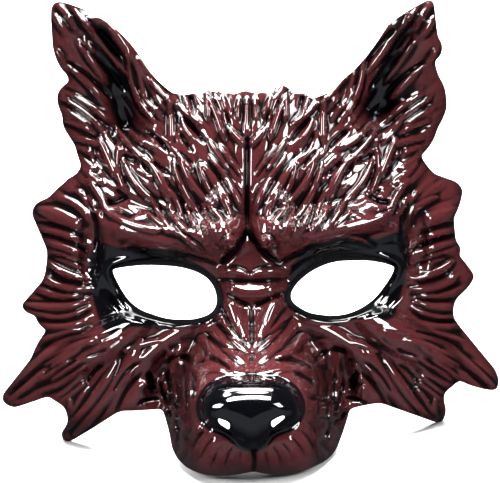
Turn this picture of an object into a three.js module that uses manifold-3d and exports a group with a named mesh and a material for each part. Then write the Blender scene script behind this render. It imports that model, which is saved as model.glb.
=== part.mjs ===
// A wolf half mask, moulded as one thin shell of hard plastic.
// The face looks along -Y, +X is the viewer's right and +Z is up. All lengths are millimetres.
// It stands by itself on its lip and on the two lowest tips of its cheeks.
import * as THREE from 'three';
import * as BufferGeometryUtils from 'three/addons/utils/BufferGeometryUtils.js';
import Module from 'manifold-3d';

// Overall sizes of the moulding
const MASK_WIDTH = 206;
const MASK_HEIGHT = 196;
const WALL = 2;
const THINNEST_WALL = 1.2;

// How far the main forms stand forward
const FACE_DEPTH = 62;
const MUZZLE_REACH = 66;
const EAR_REACH = 24;
const EAR_HOLLOW = 11;
const EAR_ROLL = 4.6;
const SOCKET_DEPTH = 11;
const BROW_HEIGHT = 8.5;
const LOBE_HEIGHT = 5;
const CHEEK_HEIGHT = 6;
const FOLD_HEIGHT = 2;
const LOCK_HEIGHT = 2;
const LOCK_WIDTH = 8.4;
const GROOVE_DEPTH = 1.6;

// The nose pad, the width over which it rounds down to its edge, the groove round it, and its nostrils
const NOSE_HEIGHT = 5;
const NOSE_ROUND = 10;
const NOSE_GROOVE = 1;
const NOSE_GROOVE_WIDTH = 2;
const NOSTRIL_DEPTH = 2.4;
const NOSTRIL_WIDTH = 3.4;

// The rim's rolled edge and the lids round the eyes
const RIM_ROLL = 2.6;
const RIM_ROLL_WIDTH = 5.5;
const LID_HEIGHT = 1.8;
const LID_WIDTH = 2.4;
const LID_SET_BACK = 2.2;

// The forms narrow towards the front, as if drawn to a point this far before the rim
const DRAFT_LENGTH = 1500;
// What the mask has worn flat where it stands
const FOOT_WEAR = 0.6;

// The faceting: spacing of the outer face in the middle and at the sides, of the inner face, and of edges
const MIDDLE_FACET = 2.7;
const SIDE_FACET = 3.1;
const INNER_FACET = 5.4;
const EDGE_STEP = 2.6;
const NOSTRIL_STEP = 1.2;
const EDGE_SAMPLE = 0.8;
const SLIVER = 0.05;
// Slopes are measured over this distance each way, and steeper ones count as this
const SLOPE_REACH = 2.4;
const STEEPEST = 2.6;

// The sculpt is laid out on squares, 100 across the mask's width and 95 up its height
const SQUARES_ACROSS = 100;
const SQUARES_UP = 95;
const SQUARE_X = MASK_WIDTH / SQUARES_ACROSS;
const SQUARE_Y = MASK_HEIGHT / SQUARES_UP;
const MIDDLE_ACROSS = 50;
const MIDDLE_SHIFT = 0.75;
const MIDDLE_DRIFT = 0.019;
const DRAFT_CENTRE_UP = 46.7;
const SIGHT_Y = DRAFT_CENTRE_UP * SQUARE_Y;

// The rim, walked round from the left end of the forehead down the left side.
// Each row is one edge: the square where it ends, and how far it bows outwards as a share of its length.
const LEFT_EAR_RIM = [
  [29.2, 81.8, -0.05], [12.1, 94.6, 0.108], [10.2, 93.0, 0.25], [10.4, 88.0, 0.02], [12.4, 80.9, 0.08],
  [13.8, 78.6, -0.12], [11.4, 76.0, 0.10], [12.4, 72.0, 0.08], [12.8, 69.2, 0.04], [15.0, 65.8, 0],
  [16.2, 62.0, 0.03],
];
const LEFT_SIDE_RIM = [
  [13.6, 59.4, -0.15], [11.2, 57.2, -0.05], [8.2, 54.9, -0.10], [6.3, 52.2, 0.15], [9.2, 45.4, 0],
  [9.2, 42.2, -0.06], [8.4, 38.8, -0.05], [4.2, 34.0, 0], [7.0, 32.0, 0.18], [9.3, 29.0, 0.14],
];
const LEFT_CHEEK_RIM = [
  [6.2, 23.4, 0.05], [0.5, 16.2, 0], [1.6, 13.9, 0.22], [3.1, 13.5, 0.05], [9.6, 15.7, 0],
  [12.6, 13.8, 0], [13.4, 10.2, -0.10], [12.3, 8.7, 0], [12.4, 7.4, 0.10], [14.0, 6.7, 0.15],
  [18.6, 9.4, 0], [23.3, 12.4, 0], [25.9, 12.8, -0.08], [32.4, 13.2, 0],
];
const MUZZLE_RIM = [
  [34.3, 5.8, -0.03], [37.6, 1.4, 0.09], [42.9, -0.1, 0.06], [50.7, 0.8, 0.04], [58.6, 0.2, 0.05],
  [64.2, 2.4, 0.03], [67.4, 5.5, 0.09], [70.0, 13.2, 0.02],
];
const RIGHT_CHEEK_RIM = [
  [76.2, 14.4, -0.03], [87.0, 10.6, 0], [88.6, 10.8, 0.10], [89.2, 13.8, 0.08], [89.1, 16.6, -0.12],
  [91.9, 18.9, 0], [98.9, 16.9, 0.05], [99.7, 18.0, 0.15], [98.4, 22.0, 0.12], [92.0, 29.8, 0],
  [90.8, 31.6, -0.03],
];
const RIGHT_SIDE_RIM = [
  [91.6, 35.6, -0.10], [95.0, 39.8, 0.07], [91.8, 44.0, 0.03], [92.2, 45.5, 0.10], [91.2, 47.0, 0],
  [90.8, 51.4, 0], [92.6, 56.8, 0.05], [90.4, 59.0, 0.14], [87.0, 60.2, 0], [84.2, 63.8, -0.04],
];
const RIGHT_EAR_RIM = [
  [87.6, 69.4, 0.08], [89.4, 73.4, 0.04], [88.8, 78.0, 0.04], [87.0, 82.8, -0.06], [88.5, 85.0, 0.12],
  [87.6, 87.6, 0.10], [86.8, 94.4, 0], [85.5, 94.9, 0.20], [77.7, 90.2, 0.02], [70.8, 80.9, -0.03],
  [66.2, 76.6, 0.03], [62.2, 75.1, 0],
];
const FOREHEAD_RIM = [
  [59.0, 76.0, 0.25], [53.7, 77.2, 0.25], [51.2, 77.0, 0.25], [46.8, 76.9, 0.24], [43.5, 76.6, 0.25],
  [40.4, 76.0, 0.22], [36.6, 75.8, 0.10], [34.8, 76.2, 0.10],
];
const RIM = [
  ...LEFT_EAR_RIM, ...LEFT_SIDE_RIM, ...LEFT_CHEEK_RIM, ...MUZZLE_RIM,
  ...RIGHT_CHEEK_RIM, ...RIGHT_SIDE_RIM, ...RIGHT_EAR_RIM, ...FOREHEAD_RIM,
];

// The openings cut right through, walked round in the same way
const LEFT_EYE = [
  [25.5, 35.3, 0.03], [30.6, 32.2, 0.08], [36.4, 31.2, 0.06], [41.8, 32.2, 0.07], [43.3, 35.7, 0.16],
  [39.5, 40.5, 0.14], [33.0, 41.8, 0.05], [22.4, 41.1, 0.04],
];
const RIGHT_EYE = [
  [70.2, 42.8, 0.06], [64.4, 41.8, 0.06], [60.0, 38.9, 0.05], [58.2, 36.3, 0.05], [59.6, 33.8, 0.18],
  [64.4, 32.1, 0.08], [73.3, 34.1, 0.10], [76.5, 37.3, 0.05], [79.0, 41.6, 0.04],
];
const LEFT_NOSTRIL = [[45.8, 9.1, 0], [46.0, 10.4, 0.05], [43.5, 11.4, 0.05], [43.8, 10.4, 0]];
const RIGHT_NOSTRIL = [[57.0, 11.5, 0], [56.8, 12.0, 0], [54.2, 10.7, 0.05], [54.5, 9.5, 0.05]];

// The nose pad's edge, walked round in the same way, and the lines of the dents out of its nostrils
const NOSE_EDGE = [
  [55.2, 19.8, 0.03], [47.6, 19.9, 0.02], [43.3, 18.9, 0.06], [40.8, 16.9, 0.05], [39.6, 14.0, 0.06],
  [40.4, 10.9, 0.08], [42.0, 9.4, 0.06], [44.1, 8.7, 0.02], [46.3, 7.4, -0.02], [47.8, 5.8, 0.02],
  [49.3, 5.3, 0.06], [51.9, 5.3, 0.05], [53.6, 6.4, 0.06], [54.7, 8.1, -0.02], [57.2, 8.9, -0.02],
  [59.1, 9.9, 0.06], [60.2, 11.6, 0.05], [60.7, 13.6, 0.05], [59.4, 17.0, 0.06], [56.9, 19.0, 0.05],
];
const NOSTRIL_DENTS = [[45.0, 9.6, 41.6, 10.2], [55.4, 9.8, 58.4, 10.6]];

// The face's dome at a few heights: how far its middle stands forward, as a share of the
// face's depth, and how far out it falls back to the rim's plane, as a share of half the width
const DOME = [
  // up, middle, reach
  [-2, 0.80, 0.80], [8, 0.80, 0.82], [14, 0.82, 0.98], [22, 0.84, 1.00], [36, 0.86, 1.00],
  [46, 0.94, 1.00], [58, 0.94, 0.98], [68, 0.87, 0.95], [78, 0.76, 0.94], [97, 0.58, 0.98],
];
const DOME_ROUNDNESS = 2.2;

// The muzzle at a few heights: how far its ridge stands out of the face, as a share of the muzzle's
// reach, and how many squares from its middle its flat top ends and its foot meets the face
const MUZZLE = [
  // up, rise, top, foot
  [-2, 0.62, 6.4, 21], [0.5, 0.72, 7.0, 21], [3, 0.84, 7.5, 21], [6, 0.92, 7.5, 20.5],
  [10, 0.96, 7.2, 20], [14, 0.93, 7.0, 19], [17, 0.86, 6.6, 18], [19.5, 0.72, 6.0, 16.5],
  [22, 0.52, 5.0, 15], [26, 0.32, 3.2, 12.5], [30, 0.20, 2.4, 10.5], [35, 0.13, 2.2, 8.8],
  [40, 0.08, 2.2, 7.6], [44, 0.03, 2.2, 7], [47, 0, 2.2, 7],
];

// Broad mounds and dents: the square of the middle, half sizes across and up in squares, how far
// the form is turned, in degrees, and its height as a share of a named size
const BROAD_FORMS = [
  // across, up, half across, half up, turn, height
  [33.0, 37.2, 13.5, 7.8, -4, -SOCKET_DEPTH],
  [68.4, 38.0, 13.5, 7.8, 4, -SOCKET_DEPTH],
  [44.8, 51.0, 4.4, 8.6, -10, LOBE_HEIGHT],
  [54.4, 51.0, 4.6, 8.6, 10, LOBE_HEIGHT],
  [19.5, 26.0, 14, 4.6, 28, CHEEK_HEIGHT],
  [81.5, 27.0, 14, 4.6, -28, CHEEK_HEIGHT],
  [32.6, 18.5, 3.8, 7.0, -16, -CHEEK_HEIGHT],
  [68.6, 19.0, 3.8, 7.0, 16, -CHEEK_HEIGHT],
  [44.6, 4.2, 6.4, 4.4, 0, 0.5 * LOBE_HEIGHT],
  [56.6, 4.4, 6.4, 4.4, 0, 0.5 * LOBE_HEIGHT],
  [18.2, 45.0, 2.8, 8.0, 0, -0.4 * SOCKET_DEPTH],
  [83.3, 46.5, 2.8, 8.0, 0, -0.4 * SOCKET_DEPTH],
];

// The ears: where the deep hollow starts and ends, and where the rolled inner rim starts and ends
const EARS = [
  // hollow foot, hollow top, rolled rim's foot, rolled rim's top
  { hollow: [25.4, 71.0, 20.4, 88.5], roll: [33.0, 75.0, 15.5, 92.6], bend: 2.6 },
  { hollow: [75.4, 73.0, 80.6, 89.5], roll: [66.0, 75.4, 83.0, 92.6], bend: -2.6 },
];
const EAR_FOOT_UP = 62;
const EAR_TIP_UP = 93;
const EAR_INNER_OUT = 16;
const EAR_OUTER_OUT = 30;
// Half widths in squares of the hollow at its foot and at its top, and of the rolled rim
const HOLLOW_FOOT_WIDTH = 6.2;
const HOLLOW_TOP_WIDTH = 3.4;
const EAR_ROLL_WIDTH = 3.4;

// Folds: where each starts, the square it bends by, where it ends, its half width in squares
// and its height as a share of the height that its group is given
const BROW_FOLDS = [
  // from across, from up, by across, by up, to across, to up, half width, height
  [47.5, 48.5, 33.5, 46.2, 20.0, 51.2, 5.0, 1],
  [53.0, 48.8, 66.5, 48.0, 80.8, 54.8, 5.0, 1],
];
const FOLDS = [
  [46.0, 40.6, 50.2, 39.6, 54.6, 40.8, 1.2, 0.7],
  [45.0, 37.2, 50.2, 35.4, 56.0, 37.4, 1.9, 0.9],
  [45.6, 33.2, 48.0, 31.0, 49.6, 26.4, 1.7, 0.8],
  [55.4, 33.4, 52.8, 31.0, 50.8, 26.4, 1.7, 0.8],
  [42.6, 30.6, 45.6, 26.8, 49.4, 23.2, 1.6, 1],
  [58.6, 30.8, 55.2, 26.8, 50.8, 23.2, 1.6, 1],
  [38.5, 28.5, 43.0, 25.2, 48.4, 20.8, 1.7, 0.9],
  [62.8, 28.8, 58.4, 25.2, 51.8, 20.8, 1.7, 0.9],
  [43.0, 30.2, 33.0, 29.2, 26.5, 20.5, 1.9, 1],
  [58.8, 30.4, 68.0, 29.6, 74.5, 21.5, 1.9, 1],
  [37.0, 26.8, 33.6, 21.0, 35.2, 14.5, 1.7, 1],
  [65.0, 27.0, 68.0, 21.5, 66.0, 14.8, 1.7, 1],
  [40.0, 25.6, 36.6, 19.0, 37.6, 11.0, 1.5, 0.8],
  [61.6, 25.8, 64.6, 19.0, 63.4, 11.4, 1.5, 0.8],
];

// Grooves pressed into the face, in the same columns as the folds
const GROOVES = [
  [49.6, 72.0, 49.4, 60.0, 49.6, 48.4, 0.8, 1],
  [49.6, 48.4, 48.6, 46.4, 46.4, 45.0, 0.8, 1],
  [49.6, 48.4, 50.8, 46.2, 53.4, 45.0, 0.8, 1],
  [50.8, 5.4, 50.8, 3.0, 50.7, 0.6, 0.7, 0.8],
];

// Courses of locks: the squares where the roots' line starts and ends, counted out from the middle
// and up, how many locks grow from it, and what they have at its start and at its end: heading in
// degrees from straight up towards the side, length in squares, width as a share of a lock's width,
// and bend in degrees
const COURSES = [
  // out, up, to out, to up, locks, heading, to heading, length, to length, width, bend
  [2.0, 61.5, 16.0, 63.5, 4, 3, 16, 15.5, 12.0, 1.00, 2],
  [2.4, 48.5, 25.0, 53.5, 6, 8, 60, 15.0, 13.5, 1.05, 12],
  [28.5, 57.5, 31.0, 33.0, 7, 82, 104, 13.0, 13.5, 1.00, 10],
  [27.0, 33.0, 15.0, 27.4, 4, 112, 126, 22.0, 21.0, 1.15, -12],
  [20.0, 24.5, 15.0, 20.5, 2, 128, 136, 19.0, 15.0, 1.00, -8],
  [28.6, 61.5, 31.5, 74.0, 4, 74, 42, 7.6, 6.8, 0.90, -14],
  [27.4, 63.0, 33.5, 62.0, 3, 12, 4, 22.0, 26.0, 0.85, 4],
];

const clamp = (value, low, high) => Math.min(Math.max(value, low), high);
const mix = (a, b, share) => a + (b - a) * share;
const smooth = (a, b, value) => {
  const share = clamp((value - a) / (b - a), 0, 1);
  return share * share * (3 - 2 * share);
};
const bell = (radius) => (radius < 1 ? (1 - radius ** 2) ** 2 : 0);
const plateau = (radius) => (radius < 1 ? (1 - radius ** 4) ** 2 : 0);

// A square of the layout, as a point in millimetres on the plane of the rim
const place = (across, up) => new THREE.Vector2((across - MIDDLE_ACROSS) * SQUARE_X, up * SQUARE_Y);

// The middle line of the face drifts a little to one side on the way up
const middleLine = (up) => MIDDLE_ACROSS + MIDDLE_SHIFT - MIDDLE_DRIFT * up;

// The values of a table of sections at any height, eased from row to row
function section(rows, up) {
  let above = rows.findIndex((row) => row[0] > up);
  if (above < 0) return rows[rows.length - 1];
  if (above === 0) return rows[0];
  const share = (up - rows[above - 1][0]) / (rows[above][0] - rows[above - 1][0]);
  return rows[above].map((value, column) => {
    const before = rows[Math.max(above - 2, 0)][column];
    const from = rows[above - 1][column];
    const after = rows[Math.min(above + 1, rows.length - 1)][column];
    const low = Math.min(from, value);
    const high = Math.max(from, value);
    const curve = new THREE.CatmullRomCurve3([]);
    curve.points = [before, from, value, after].map((height, index) => new THREE.Vector3(index, height, 0));
    curve.curveType = 'catmullrom';
    return clamp(curve.getPoint((1 + share) / 3).y, low, high);
  });
}

// Corner points round a closed edge, from rows of ends and bows
function edgeCorners(rows) {
  const ends = rows.map(([across, up]) => place(across, up));
  const points = [];
  rows.forEach(([, , bow], index) => {
    const from = ends[(index + ends.length - 1) % ends.length];
    const to = ends[index];
    const along = to.clone().sub(from);
    const outwards = new THREE.Vector2(along.y, -along.x);
    const knee = from.clone().add(to).multiplyScalar(0.5).addScaledVector(outwards, 2 * bow);
    const curve = new THREE.QuadraticBezierCurve(from, knee, to);
    const steps = Math.max(2, Math.ceil(along.length() / EDGE_SAMPLE));
    for (let step = 1; step <= steps; step += 1) points.push(curve.getPoint(step / steps));
  });
  return points;
}

// The same edge with its corners eased, as evenly spaced points
function edgeLoop(rows, step, passes) {
  let points = edgeCorners(rows);
  for (let pass = 0; pass < passes; pass += 1) {
    points = points.map((point, index) => {
      const before = points[(index + points.length - 1) % points.length];
      const after = points[(index + 1) % points.length];
      return point.clone().multiplyScalar(2).add(before).add(after).multiplyScalar(0.25);
    });
  }
  const path = new THREE.Path(points);
  path.closePath();
  const spaced = path.getSpacedPoints(Math.ceil(path.getLength() / step));
  return spaced.slice(0, -1);
}

// How far a point lies inside a closed edge, less than nothing outside
function depthInside(loop, x, y) {
  let nearest = Infinity;
  let inside = false;
  for (let index = 0, last = loop.length - 1; index < loop.length; last = index, index += 1) {
    const a = loop[last];
    const b = loop[index];
    const along = clamp(((x - a.x) * (b.x - a.x) + (y - a.y) * (b.y - a.y)) / a.distanceToSquared(b), 0, 1);
    const dx = x - mix(a.x, b.x, along);
    const dy = y - mix(a.y, b.y, along);
    nearest = Math.min(nearest, dx * dx + dy * dy);
    if (a.y > y !== b.y > y && x < mix(a.x, b.x, (y - a.y) / (b.y - a.y))) inside = !inside;
  }
  return inside ? Math.sqrt(nearest) : -Math.sqrt(nearest);
}

// How many times the corners of the rim, of the nose pad and of the nostrils are eased
const RIM_PASSES = 3;
const NOSE_PASSES = 10;
const NOSTRIL_PASSES = 1;
const rimLoop = edgeLoop(RIM, EDGE_STEP, RIM_PASSES);
const eyeLoops = [LEFT_EYE, RIGHT_EYE].map((rows) => edgeLoop(rows, EDGE_STEP, RIM_PASSES));
const noseLoop = edgeLoop(NOSE_EDGE, EDGE_STEP, NOSE_PASSES);
const nostrilLoops = [LEFT_NOSTRIL, RIGHT_NOSTRIL]
  .map((rows) => edgeLoop(rows, NOSTRIL_STEP, NOSTRIL_PASSES));

// A bent line of short pieces, with the box round it
function stroke(from, by, to, halfWidth, height) {
  const points = new THREE.QuadraticBezierCurve(from, by, to).getPoints(8);
  const box = new THREE.Box2().setFromPoints(points).expandByScalar(halfWidth);
  return { points, box, halfWidth, height };
}

// How far along a stroke a point lies, and how far off it, both as shares
function nearStroke({ points, box, halfWidth }, x, y) {
  if (x < box.min.x || x > box.max.x || y < box.min.y || y > box.max.y) return null;
  let best = null;
  for (let index = 1; index < points.length; index += 1) {
    const a = points[index - 1];
    const b = points[index];
    const share = clamp(((x - a.x) * (b.x - a.x) + (y - a.y) * (b.y - a.y)) / a.distanceToSquared(b), 0, 1);
    const off = Math.hypot(x - mix(a.x, b.x, share), y - mix(a.y, b.y, share)) / halfWidth;
    if (best === null || off < best.off) best = { off, along: (index - 1 + share) / (points.length - 1) };
  }
  return best.off < 1 ? best : null;
}

const strokesFrom = (rows, size) => rows.map(([ax, ay, bx, by, cx, cy, halfWidth, height]) =>
  stroke(place(ax, ay), place(bx, by), place(cx, cy), halfWidth * SQUARE_X, height * size));
const browStrokes = strokesFrom(BROW_FOLDS, BROW_HEIGHT);
const foldStrokes = strokesFrom(FOLDS, FOLD_HEIGHT);
const grooveStrokes = strokesFrom(GROOVES, GROOVE_DEPTH);

// The locks of both halves, each a stroke that swells from its root and ends in a point
function lockStrokes() {
  const strokes = [];
  for (const [out, up, toOut, toUp, locks, heading, toHeading, length, toLength, width, bend] of COURSES) {
    for (const side of [-1, 1]) {
      for (let lock = 0; lock < locks; lock += 1) {
        const share = locks > 1 ? lock / (locks - 1) : 0;
        const rootUp = mix(up, toUp, share);
        const root = place(middleLine(rootUp) + side * mix(out, toOut, share), rootUp);
        const start = THREE.MathUtils.degToRad(mix(heading, toHeading, share));
        const end = start + THREE.MathUtils.degToRad(bend);
        const half = 0.5 * SQUARE_Y * mix(length, toLength, share);
        const rise = new THREE.Vector2(side * Math.sin(start), Math.cos(start));
        const knee = rise.multiplyScalar(half).add(root);
        const turned = new THREE.Vector2(side * Math.sin(end), Math.cos(end));
        const tip = turned.multiplyScalar(half).add(knee);
        strokes.push(stroke(root, knee, tip, width * LOCK_WIDTH / 2, LOCK_HEIGHT));
      }
    }
  }
  return strokes;
}
const locks = lockStrokes();

// Rounded across, rising quickly from the root and running out to the tip
function lockRelief(x, y) {
  let relief = 0;
  for (const lock of locks) {
    const near = nearStroke(lock, x, y);
    if (near === null) continue;
    const spread = smooth(-0.35, 0.25, near.along) * Math.sqrt(Math.max(0, 1 - near.along ** 3));
    if (near.off >= spread) continue;
    const across = Math.sqrt(1 - (near.off / spread) ** 2);
    const swell = smooth(0, 0.35, near.along) * smooth(1.05, 0.7, near.along);
    relief = Math.max(relief, lock.height * across * swell);
  }
  return relief;
}

function foldRelief(strokes, x, y) {
  let relief = 0;
  for (const fold of strokes) {
    const near = nearStroke(fold, x, y);
    if (near === null) continue;
    const ends = smooth(0, 0.12, near.along) * smooth(1, 0.82, near.along);
    relief = Math.max(relief, fold.height * bell(near.off) * (0.35 + 0.65 * ends));
  }
  return relief;
}

// A line's nearest point, for the ears' hollows and rolls
function offLine([fromAcross, fromUp, toAcross, toUp], x, y, bend) {
  const from = place(fromAcross, fromUp);
  const to = place(toAcross, toUp);
  const along = to.clone().sub(from);
  const share = new THREE.Vector2(x, y).sub(from).dot(along) / along.lengthSq();
  const held = clamp(share, 0, 1);
  const nearest = from.addScaledVector(along, held);
  const sag = bend * SQUARE_X * 4 * held * (1 - held);
  const side = (x - nearest.x) * along.y - (y - nearest.y) * along.x;
  const over = share - held;
  const off = side / along.length() - sag;
  return { share, off: Math.hypot(off, over * along.length()) };
}

function earForm(x, y) {
  const up = y / SQUARE_Y;
  const out = Math.abs(x) / SQUARE_X;
  let form = EAR_REACH * smooth(EAR_FOOT_UP, EAR_TIP_UP, up) * smooth(EAR_INNER_OUT, EAR_OUTER_OUT, out);
  for (const { hollow, roll, bend } of EARS) {
    const dent = offLine(hollow, x, y, 0);
    const along = clamp(dent.share, 0, 1);
    const width = mix(HOLLOW_FOOT_WIDTH, HOLLOW_TOP_WIDTH, along) * SQUARE_X;
    form -= EAR_HOLLOW * mix(1, 0.45, along) * bell(dent.off / width);
    const rolled = offLine(roll, x, y, bend);
    form += EAR_ROLL * bell(rolled.off / (EAR_ROLL_WIDTH * SQUARE_X));
  }
  return form;
}

function muzzleForm(x, y) {
  const up = y / SQUARE_Y;
  const [, rise, top, foot] = section(MUZZLE, up);
  const out = Math.abs(x / SQUARE_X + MIDDLE_ACROSS - middleLine(up));
  const share = clamp((out - top) / (foot - top), 0, 1);
  return MUZZLE_REACH * rise * (1 - smooth(0, 1, share ** 1.25));
}

// The nose pad is rounded over from its edge, with a groove round it
function noseForm(x, y) {
  const depth = depthInside(noseLoop, x, y);
  const fall = 1 - clamp(depth / NOSE_ROUND, 0, 1);
  const grooveOff = Math.abs(depth + NOSE_GROOVE_WIDTH / 2) / NOSE_GROOVE_WIDTH;
  return NOSE_HEIGHT * Math.sqrt(1 - fall ** 2) - NOSE_GROOVE * bell(grooveOff);
}

function nostrilForm(x, y) {
  const dents = NOSTRIL_DENTS.map((line) => bell(offLine(line, x, y, 0).off / NOSTRIL_WIDTH));
  return -NOSTRIL_DEPTH * Math.max(...dents);
}

function broadForms(x, y) {
  let form = 0;
  for (const [across, up, halfAcross, halfUp, turn, height] of BROAD_FORMS) {
    const middle = place(across, up);
    const angle = THREE.MathUtils.degToRad(turn);
    const dx = (x - middle.x) / SQUARE_X;
    const dy = (y - middle.y) / SQUARE_Y;
    const along = dx * Math.cos(angle) + dy * Math.sin(angle);
    const over = dy * Math.cos(angle) - dx * Math.sin(angle);
    form += height * plateau(Math.hypot(along / halfAcross, over / halfUp));
  }
  return form;
}

function domeForm(x, y) {
  const [, middle, reach] = section(DOME, y / SQUARE_Y);
  const out = Math.abs(x) / (reach * MASK_WIDTH / 2);
  return FACE_DEPTH * middle * (1 - out ** DOME_ROUNDNESS);
}

// The rim rolls back all round
function rimForm(x, y) {
  const away = 1 - depthInside(rimLoop, x, y) / RIM_ROLL_WIDTH;
  const rolled = away > 1 ? 2 * away - 1 : Math.max(away, 0) ** 2;
  return -RIM_ROLL * rolled;
}

// A lid is raised round each eye, and turns in at the opening
function lidForm(x, y) {
  let form = 0;
  for (const loop of eyeLoops) {
    const outside = -depthInside(loop, x, y);
    form += LID_HEIGHT * bell((outside - LID_SET_BACK) / LID_WIDTH);
    form -= LID_HEIGHT * smooth(1, -2, outside);
  }
  return form;
}

// The mask's main form, before lids and fur
const mainForm = (x, y) => domeForm(x, y) + muzzleForm(x, y) + earForm(x, y) + broadForms(x, y)
  + foldRelief(browStrokes, x, y) + rimForm(x, y);

function furShare(x, y) {
  let share = smooth(0.5, 3, -depthInside(noseLoop, x, y));
  for (const loop of eyeLoops) share *= smooth(3, 7, -depthInside(loop, x, y));
  for (const { hollow } of EARS) share *= smooth(2, 7, offLine(hollow, x, y, 0).off);
  return share * smooth(0, 3, y / SQUARE_Y);
}

// How much a step square to the surface grows when it is measured straight forward
function slant(x, y) {
  const slopeX = (mainForm(x + SLOPE_REACH, y) - mainForm(x - SLOPE_REACH, y)) / (2 * SLOPE_REACH);
  const slopeY = (mainForm(x, y + SLOPE_REACH) - mainForm(x, y - SLOPE_REACH)) / (2 * SLOPE_REACH);
  return Math.hypot(1, Math.min(Math.hypot(slopeX, slopeY), STEEPEST));
}

function outerFace(x, y) {
  const fur = Math.max(lockRelief(x, y) * furShare(x, y), foldRelief(foldStrokes, x, y));
  const pressed = foldRelief(grooveStrokes, x, y);
  const sculpted = fur - pressed + noseForm(x, y) + nostrilForm(x, y);
  return mainForm(x, y) + lidForm(x, y) + sculpted * slant(x, y);
}

// The inner face lies one wall behind the main form, and never nearer than the thinnest wall
const innerFace = (x, y) => Math.min(
  mainForm(x, y) - WALL * slant(x, y),
  outerFace(x, y) - THINNEST_WALL * slant(x, y),
);

// Grid lines between two limits, close together where fine says so
function gridLines(from, to, spacing) {
  const lines = [from];
  while (lines[lines.length - 1] < to) lines.push(lines[lines.length - 1] + spacing(lines[lines.length - 1]));
  return lines;
}

// The solid block behind a face, down to a flat back
function blockBehind(face, columns, rows, back) {
  const positions = [];
  for (const y of rows) for (const x of columns) positions.push(x, y, face(x, y));
  for (const y of rows) for (const x of columns) positions.push(x, y, back);
  const wide = columns.length;
  const layer = wide * rows.length;
  const faces = [];
  const quad = (a, b, c, d) => faces.push(a, b, c, a, c, d);
  const height = (index) => positions[3 * index + 2];
  for (let row = 0; row + 1 < rows.length; row += 1) {
    for (let column = 0; column + 1 < wide; column += 1) {
      const a = row * wide + column;
      const [b, c, d] = [a + 1, a + wide + 1, a + wide];
      const flatterAlongAC = Math.abs(height(a) - height(c)) < Math.abs(height(b) - height(d));
      if (flatterAlongAC) quad(a, b, c, d);
      else quad(b, c, d, a);
      quad(layer + a, layer + d, layer + c, layer + b);
    }
  }
  for (let column = 0; column + 1 < wide; column += 1) {
    quad(layer + column, layer + column + 1, column + 1, column);
    const top = (rows.length - 1) * wide + column;
    quad(layer + top + 1, layer + top, top, top + 1);
  }
  for (let row = 0; row + 1 < rows.length; row += 1) {
    const left = row * wide;
    quad(layer + left + wide, layer + left, left, left + wide);
    const right = left + wide - 1;
    quad(layer + right, layer + right + wide, right + wide, right);
  }
  const geometry = new THREE.BufferGeometry();
  geometry.setAttribute('position', new THREE.Float32BufferAttribute(positions, 3));
  geometry.setIndex(faces);
  return geometry;
}

const wasm = await Module();
wasm.setup();

function toSolid(geometry) {
  const bare = geometry.clone();
  bare.deleteAttribute('normal');
  bare.deleteAttribute('uv');
  const merged = BufferGeometryUtils.mergeVertices(bare, 1e-4);
  return new wasm.Manifold(new wasm.Mesh({
    numProp: 3,
    vertProperties: new Float32Array(merged.attributes.position.array),
    triVerts: new Uint32Array(merged.index.array),
  }));
}

function toGeometry(solid) {
  const mesh = solid.getMesh();
  const geometry = new THREE.BufferGeometry();
  geometry.setAttribute('position', new THREE.BufferAttribute(new Float32Array(mesh.vertProperties), 3));
  geometry.setIndex(new THREE.BufferAttribute(new Uint32Array(mesh.triVerts), 1));
  return geometry;
}

// The outline with its openings, as a straight prism deeper than the mask
function outlinePrism(front, back) {
  const shape = new THREE.Shape(rimLoop);
  for (const loop of [...eyeLoops, ...nostrilLoops]) shape.holes.push(new THREE.Path(loop));
  const geometry = new THREE.ExtrudeGeometry(shape, { depth: front - back, bevelEnabled: false });
  return geometry.translate(0, 0, back);
}

// The sheets reach this far past the outline, and their blocks this far behind and before every form
const SHEET_MARGIN = 8;
const BLOCK_BEHIND = 60;
const BLOCK_BEFORE = 40;
// The finer facets cover the muzzle: squares out from the middle, and up
const FINE_OUT = 24;
const FINE_UP = 27;

function shellSolid() {
  const back = -BLOCK_BEHIND;
  const front = FACE_DEPTH + MUZZLE_REACH + BLOCK_BEFORE;
  const halfWide = MASK_WIDTH / 2 + SHEET_MARGIN;
  const limits = [-halfWide, halfWide, -SHEET_MARGIN, MASK_HEIGHT + SHEET_MARGIN];
  const muzzleWide = FINE_OUT * SQUARE_X;
  const muzzleTall = FINE_UP * SQUARE_Y;
  const across = (x) => (Math.abs(x) < muzzleWide ? MIDDLE_FACET : SIDE_FACET);
  const columns = gridLines(limits[0], limits[1], across);
  const rows = gridLines(limits[2], limits[3], (y) => (y < muzzleTall ? MIDDLE_FACET : SIDE_FACET));
  const innerLimits = limits.map((limit) => limit + Math.sign(limit) * 2);
  const innerColumns = gridLines(innerLimits[0], innerLimits[1], () => INNER_FACET);
  const innerRows = gridLines(innerLimits[2], innerLimits[3], () => INNER_FACET);
  const outer = toSolid(blockBehind(outerFace, columns, rows, back));
  const inner = toSolid(blockBehind(innerFace, innerColumns, innerRows, back - 10));
  const prism = toSolid(outlinePrism(front, back + 5));
  return outer.subtract(inner).intersect(prism).simplify(SLIVER);
}

// The forms draw in towards the front
function drawIn(geometry) {
  const position = geometry.attributes.position;
  for (let index = 0; index < position.count; index += 1) {
    const scale = 1 - position.getZ(index) / DRAFT_LENGTH;
    position.setXY(index, position.getX(index) * scale, (position.getY(index) - SIGHT_Y) * scale);
  }
  return geometry;
}

// The lip lies within this many squares of the middle, and the cheek tips further out
const LIP_OUT = 20;

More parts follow.
